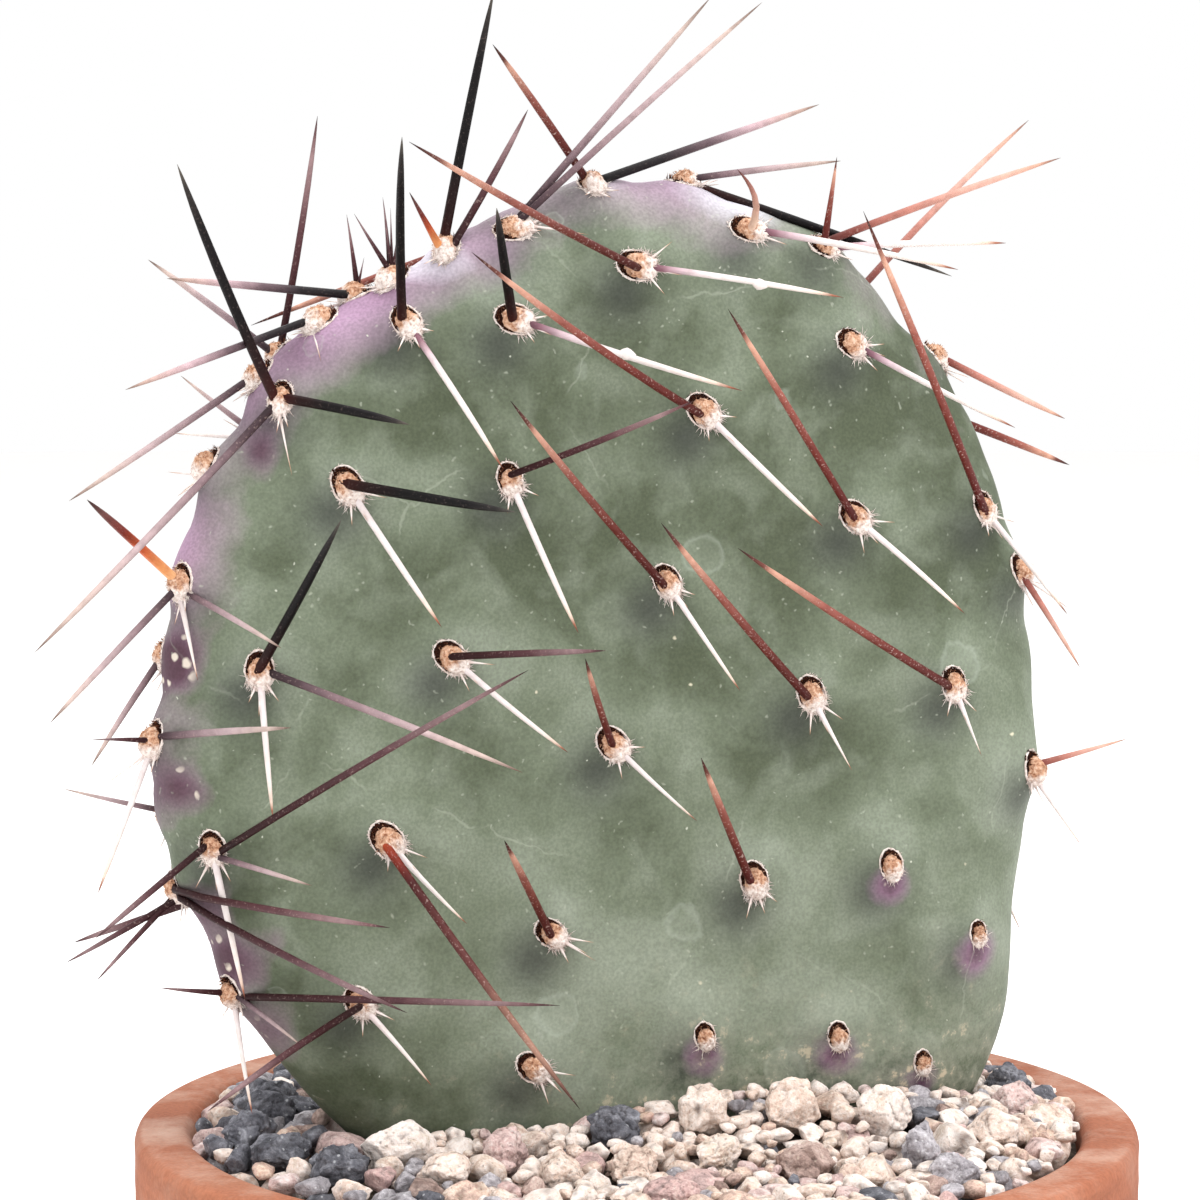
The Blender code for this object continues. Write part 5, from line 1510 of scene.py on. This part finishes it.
class GritMap:
    """Height of what lies in the pot so far, on a square grid of cells."""

    def __init__(self):
        self.reach = inner_radius(BED_EDGE) - GAP
        count = int(2.0 * self.reach / GRIT_CELL) + 1
        line = (np.arange(count) - 0.5 * (count - 1)) * GRIT_CELL
        self.x, self.y = np.meshgrid(line, line, indexing="ij")
        self.line = line
        self.aim = bed_height(self.x, self.y)
        self.height = self.aim - GRIT_DEPTH
        self.height[np.hypot(self.x, self.y) > self.reach] = np.inf
        at_bed = np.stack((self.x, self.y, self.aim), axis=-1) - PAD_CENTRE
        self.height[pad_level(at_bed) < PAD_CLEAR] = np.inf
        for _, x, y, length, width, height, turn in STONES:
            sizes = np.array((length, width, height)) * 0.5 * MM
            centre = (x * MM, y * MM)
            level = bed_height(*centre) + sizes[2] * (1.0 - 2.0 * STONE_SINK)
            cells, share = self.under(centre, sizes, math.radians(turn))
            top = level + sizes[2] * np.sqrt(1.0 - share ** 2)
            top = np.where(share < STONE_COVERED, np.inf, top)
            self.height[cells] = np.maximum(self.height[cells], top)

    def under(self, centre, sizes, turn):
        """Cells under an oval lump, and how far out each is, from 0 in the middle to 1 at the edge."""
        reach = max(sizes[:2])
        low = [np.searchsorted(self.line, centre[axis] - reach) for axis in (0, 1)]
        high = [np.searchsorted(self.line, centre[axis] + reach) for axis in (0, 1)]
        block = np.ix_(range(low[0], high[0]), range(low[1], high[1]))
        x, y = self.x[block] - centre[0], self.y[block] - centre[1]
        along = (x * math.cos(turn) + y * math.sin(turn)) / sizes[0]
        across = (y * math.cos(turn) - x * math.sin(turn)) / sizes[1]
        share = np.hypot(along, across)
        rows, columns = np.nonzero(share < 1.0)
        return (rows + low[0], columns + low[1]), share[rows, columns]

    def rest(self, centre, sizes, turn):
        """Height at which a lump comes to rest, and the cells that it covers."""
        cells, share = self.under(centre, sizes, turn)
        if not len(share):
            return np.inf, cells, share
        return float(np.max(self.height[cells] + sizes[2] * np.sqrt(1.0 - share ** 2))), cells, share


# How soon the grains turn fine, how their size varies, their length, width and height, and how far they may
# stand out of the bed: so much and a share of their height
GRIT_FINING, GRIT_SPREAD = 0.6, (0.8, 1.2)
GRIT_SHAPE = ((1.0, 1.35), (0.8, 1.05), (0.7, 1.0))
GRIT_PROUD, GRIT_PROUD_SHARE = 0.9 * MM, 0.25
# Grains over a size are drawn finer, and each is a little larger than the room that it takes
GRIT_FINE_OVER, GRIT_FULLNESS = 3.0 * MM, 1.1
GRIT_SPECKS = 0.8
# The dark bed under the grains, whose darkness is partly painted shade in the gaps
BASE_SIDES, BASE_ROWS = 144, 40
BASE_ROUGH, BASE_LUMPS, BASE_TINT = 0.5 * MM, 1.6 * MM, 0.3


def lay_grit(settings):
    """Places of the small grains: coarse ones first, each in the lowest of a few places that are tried."""
    draw = random.Random(settings.seed)
    ground = GritMap()
    grains = []
    for number in range(settings.grains):
        stage = (number / settings.grains) ** GRIT_FINING
        size = settings.coarse + (settings.fine - settings.coarse) * stage
        size *= draw.uniform(*GRIT_SPREAD)
        sizes = 0.5 * size * np.array([draw.uniform(*span) for span in GRIT_SHAPE])
        turn = draw.uniform(0.0, TURN)
        best = None
        for _ in range(GRIT_CANDIDATES):
            away = ground.reach * math.sqrt(draw.random())
            angle = draw.uniform(0.0, TURN)
            centre = (away * math.cos(angle), away * math.sin(angle))
            if centre[0] < GRIT_OPEN_LEFT and size < GRIT_OPEN_FINEST:
                continue
            level, cells, share = ground.rest(centre, sizes * GRIT_OVERLAP, turn)
            proud = level + sizes[2] - bed_height(*centre)
            if proud < GRIT_PROUD + GRIT_PROUD_SHARE * sizes[2] and (best is None or proud < best[0]):
                best = (proud, centre, level, cells, share)
        if best is None:
            continue
        _, centre, level, cells, share = best
        top = level + sizes[2] * GRIT_OVERLAP * np.sqrt(1.0 - share ** 2)
        ground.height[cells] = np.maximum(ground.height[cells], top)
        grains.append((np.array((*centre, level)), sizes, turn, size))
    return grains, draw


class PEAR_OT_grit(Operator):
    """Lay the small grit grain by grain on a dark bed, one piece for each kind of stone"""
    bl_idname = "pear.grit"
    bl_label = "Small grit"

    def execute(self, context):
        settings = context.scene.pear_grit
        grains, draw = lay_grit(settings)
        kinds = list(GRIT_MIX)
        shapes = {}
        for kind in kinds:
            for detail in (2, 3):
                points, faces = ball(detail)
                shapes[kind, detail] = [
                    (*break_ball(points, draw, *STONE_KINDS[kind][4:7], GRAIN_CUT_DEPTH), faces)
                    for _ in range(GRIT_TEMPLATES)]
        forms = {kind: [] for kind in kinds}
        for centre, sizes, turn, size in grains:
            mix = GRIT_MIX_LEFT if centre[0] < draw.uniform(*GRIT_LEFT) else GRIT_MIX
            kind = draw.choices(kinds, [mix[kind] for kind in kinds])[0]
            broken, crease_shading, faces = draw.choice(shapes[kind, 3 if size > GRIT_FINE_OVER else 2])
            placed = place_stone(broken * GRIT_FULLNESS, centre, sizes, turn)
            forms[kind].append((placed, faces, {"crease_shade": crease_shading, "tint": np.full(len(placed), draw.random())}))
        for kind in kinds:
            name, stops, speck, speck_size = STONE_KINDS[kind][:4]
            material = stone_material(f"{name} grit", stops, speck, GRIT_SPECKS * speck_size)
            make_piece(f"grit_{kind}", gather(forms[kind]), material, ["gravel_bed"])
        self.make_base()
        return {"FINISHED"}

    def make_base(self):
        """The dark fine grit that shows in the gaps between the grains, its darkness partly painted shade
        there, as a closed body.
        """
        turns = around(BASE_SIDES)
        edge = inner_radius(BED_EDGE - GRIT_BASE) - GAP
        top = [np.array(((0.0, 0.0, float(bed_height(0.0, 0.0)) - GRIT_BASE),))]
        for row in range(1, BASE_ROWS + 1):
            ring = level_ring(turns, edge * row / BASE_ROWS, edge * row / BASE_ROWS, 0.0)
            ring[:, 2] = bed_height(ring[:, 0], ring[:, 1]) - GRIT_BASE
            top.append(ring)
        top = np.concatenate(top)
        top[:, 2] += BASE_ROUGH * fractal(top, BASE_LUMPS, 2)
        foot = inner_radius(SOIL_TOP + GAP) - GAP
        points = np.concatenate((top, level_ring(turns, foot, foot, SOIL_TOP + GAP)))
        material = stone_material("Fine dark grit", [(0.3, "2A2421"), (0.55, "54493F"), (0.8, "85776A")],
                                  "9C8E80", 0.7)
        blank = np.zeros(len(points))
        make_piece("grit_base", (points, crown_faces(BASE_ROWS + 1, BASE_SIDES),
                                 {"crease_shade": blank, "tint": blank + BASE_TINT}), material, ["gravel_bed"])


# The pot

COLLAR_SLOPE = 0.4 * MM
PROFILE_SPACING = 1.4 * MM
RIDGE_SEED = 3
# Lime that water left: everywhere, up from the foot, about the collar's step and down inside the mouth, each
# with its strength and reach
LIME_EVERYWHERE = 0.25
LIME_FOOT, LIME_STEP, LIME_MOUTH = (0.75, 16.0 * MM), (0.8, 7.0 * MM), (0.5, 3.0 * MM)
LIME_INSIDE = 1.0 * MM
DRILL_SIDES = 40
DRILL_TURN = 0.25


def rounded(profile, radius, steps=5):
    """Rounds the corners of a profile of (radius, height) points; its two ends stay."""
    points = [profile[0]]
    for before, corner, after in zip(profile, profile[1:], profile[2:]):
        into, out = np.subtract(before, corner), np.subtract(after, corner)
        cut = min(radius, 0.45 * np.linalg.norm(into), 0.45 * np.linalg.norm(out))
        first, last = corner + unit(into) * cut, corner + unit(out) * cut
        for step in range(steps + 1):
            t = step / steps
            points.append(tuple((1 - t) ** 2 * first + 2 * t * (1 - t) * np.array(corner) + t ** 2 * last))
    return points + [profile[-1]]


def fill_in(profile, spacing):
    """Adds points to a profile so that none are further apart than a spacing."""
    points = [profile[0]]
    for first, last in zip(profile, profile[1:]):
        count = max(1, math.ceil(math.dist(first, last) / spacing))
        points += [tuple(np.array(first) + np.subtract(last, first) * (step + 1) / count)
                   for step in range(count)]
    return points


class PEAR_OT_pot(Operator):
    """Turn the clay pot with its collar, rounded edges, turning marks and drainage holes"""
    bl_idname = "pear.pot"
    bl_label = "Clay pot"

    def execute(self, context):
        settings = context.scene.pear_pot
        shoulder = POT_HEIGHT - POT_COLLAR_HEIGHT
        corners = [(0.0, 0.0), (POT_FOOT_RADIUS, 0.0), (wall_radius(shoulder), shoulder),
                   (POT_COLLAR_RADIUS, shoulder + COLLAR_SLOPE), (POT_COLLAR_RADIUS, POT_HEIGHT),
                   (POT_MOUTH_RADIUS, POT_HEIGHT), (inner_radius(POT_FLOOR), POT_FLOOR), (0.0, POT_FLOOR)]
        profile = fill_in(rounded(corners, settings.lip), PROFILE_SPACING)
        sides, rows = settings.sides, len(profile) - 2
        points = [np.array(((0.0, 0.0, 0.0),))]
        draw = random.Random(RIDGE_SEED)
        for radius, height in profile[1:-1]:
            reach = radius - settings.ridge * draw.random() * (radius > 0.5 * POT_FOOT_RADIUS)
            points.append(level_ring(around(sides), reach, reach, height))
        points.append(np.array(((0.0, 0.0, POT_FLOOR),)))
        points = np.concatenate(points)
        faces = [(0, 1 + (k + 1) % sides, 1 + k) for k in range(sides)]
        for row in range(rows - 1):
            faces += ring_faces(1 + row * sides, 1 + (row + 1) * sides, sides)
        last = 1 + (rows - 1) * sides
        faces += [(len(points) - 1, last + k, last + (k + 1) % sides) for k in range(sides)]
        height = points[:, 2]
        inside = np.hypot(points[:, 0], points[:, 1]) < POT_COLLAR_RADIUS - LIME_INSIDE
        lime = LIME_EVERYWHERE
        for (strength, reach), away, where in (
                (LIME_FOOT, height, 1.0), (LIME_STEP, abs(height - shoulder), 1.0),
                (LIME_MOUTH, POT_HEIGHT - height, inside)):
            lime = lime + strength * np.exp(-away / reach) * where
        pot = make_piece("terracotta_pot", (points, faces, {"lime": np.clip(lime, 0.0, 1.0)}),
                         clay_material(settings), ["pot"])
        self.drill(pot)
        return {"FINISHED"}

    def drill(self, pot):
        """Cuts the drainage holes through the floor."""
        shape = bmesh.new()
        for hole in range(DRAIN_HOLES):
            angle = TURN * (hole + DRILL_TURN) / DRAIN_HOLES
            place = (DRAIN_RING * math.cos(angle), DRAIN_RING * math.sin(angle), 0.5 * POT_FLOOR)
            made = bmesh.ops.create_cone(shape, cap_ends=True, segments=DRILL_SIDES, radius1=DRAIN_RADIUS,
                                         radius2=DRAIN_RADIUS, depth=3.0 * POT_FLOOR)
            bmesh.ops.translate(shape, verts=made["verts"], vec=place)
        mesh = bpy.data.meshes.new("drill")
        shape.to_mesh(mesh)
        shape.free()
        cutter = bpy.data.objects.new("drill", mesh)
        bpy.context.scene.collection.objects.link(cutter)
        cut = pot.modifiers.new("holes", "BOOLEAN")
        cut.object = cutter
        cut.solver = "EXACT"
        bpy.context.view_layer.update()
        drilled = bpy.data.meshes.new_from_object(pot.evaluated_get(bpy.context.evaluated_depsgraph_get()))
        pot.modifiers.clear()
        pot.data = drilled
        bpy.data.objects.remove(cutter)


class PEAR_OT_soil(Operator):
    """Give the potting mix under the grit its finish"""
    bl_idname = "pear.soil"
    bl_label = "Potting mix"

    def execute(self, context):
        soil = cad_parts["soil"]
        soil.data.materials.clear()
        soil.data.materials.append(mix_material())
        return {"FINISHED"}


# The stage

FLOOR_RADIUS = 4.0
FLOOR_SIDES = 96
# Soft panels: place, size in metres and watts
LIGHTS = {
    "sky_panel": ((0.1, -0.25, 1.30), 1.6, 20.0),
    "left_panel": ((-1.10, -0.85, 0.75), 1.0, 4.0),
    "right_panel": ((1.00, -0.90, 0.85), 1.0, 5.0),
    "back_panel": ((0.2, 1.2, 0.9), 1.1, 5.0),
}


class PEAR_OT_stage(Operator):
    """Set up the pale floor, the soft studio light and the camera"""
    bl_idname = "pear.stage"
    bl_label = "Stage"

    def execute(self, context):
        settings = context.scene.pear_stage
        mesh = bpy.data.meshes.new("floor")
        ring = level_ring(around(FLOOR_SIDES), FLOOR_RADIUS, FLOOR_RADIUS, 0.0)
        mesh.from_pydata(ring.tolist(), [], [range(FLOOR_SIDES)])
        mesh.materials.append(floor_material(settings))
        floor = bpy.data.objects.new("floor", mesh)
        context.scene.collection.objects.link(floor)
        world = bpy.data.worlds.new("studio")
        world.use_nodes = True
        background = world.node_tree.nodes["Background"]
        background.inputs["Color"].default_value = (1.0, 1.0, 1.0, 1.0)
        background.inputs["Strength"].default_value = settings.brightness
        context.scene.world = world
        context.scene.view_settings.view_transform = "Standard"
        for name, (place, size, watts) in LIGHTS.items():
            light = bpy.data.lights.new(name, "AREA")
            light.size = size
            light.energy = watts * settings.brightness
            lamp = bpy.data.objects.new(name, light)
            lamp.location = place
            lamp.rotation_euler = (Vector(CAMERA_AIM) - Vector(place)).to_track_quat("-Z", "Y").to_euler()
            context.scene.collection.objects.link(lamp)
        self.add_camera(context, settings)
        return {"FINISHED"}

    def add_camera(self, context, settings):
        """The camera at the photograph's viewing angle and framing."""
        level = math.cos(settings.elevation)
        back = Vector((math.sin(settings.azimuth) * level, -math.cos(settings.azimuth) * level,
                       math.sin(settings.elevation)))
        camera = bpy.data.objects.new("camera", bpy.data.cameras.new("camera"))
        camera.data.lens = CAMERA_LENS
        camera.data.sensor_width = CAMERA_SENSOR
        camera.data.clip_start = CAMERA_NEAREST
        camera.location = Vector(CAMERA_AIM) + back * settings.distance
        camera.rotation_euler = back.to_track_quat("Z", "Y").to_euler()
        context.scene.collection.objects.link(camera)
        context.scene.camera = camera


OPERATORS = (PEAR_OT_stage, PEAR_OT_pot, PEAR_OT_soil, PEAR_OT_grit, PEAR_OT_stones, PEAR_OT_skin,
             PEAR_OT_areoles, PEAR_OT_spines)


class PEAR_PT_panel(Panel):
    """The cactus's settings and the steps that make it"""
    bl_idname = "PEAR_PT_panel"
    bl_label = "Prickly Pear"
    bl_space_type = "VIEW_3D"
    bl_region_type = "UI"
    bl_category = "Prickly Pear"

    def draw(self, context):
        for operator in OPERATORS:
            self.layout.operator(operator.bl_idname)
        for group, kind in SETTINGS.items():
            box = self.layout.box()
            for name in kind.__annotations__:
                box.prop(getattr(context.scene, group), name)


CLASSES = (*SETTINGS.values(), *OPERATORS, PEAR_PT_panel)


def register():
    """Registers the classes and the settings."""
    for kind in CLASSES:
        bpy.utils.register_class(kind)
    for group, kind in SETTINGS.items():
        setattr(bpy.types.Scene, group, PointerProperty(type=kind))


def unregister():
    """Takes the settings and the classes away again."""
    for group in SETTINGS:
        delattr(bpy.types.Scene, group)
    for kind in reversed(CLASSES):
        bpy.utils.unregister_class(kind)


def main():
    register()
    for operator in OPERATORS:
        group, name = operator.bl_idname.split(".")
        getattr(getattr(bpy.ops, group), name)()
    bpy.context.view_layer.update()


if __name__ == "__main__":
    main()
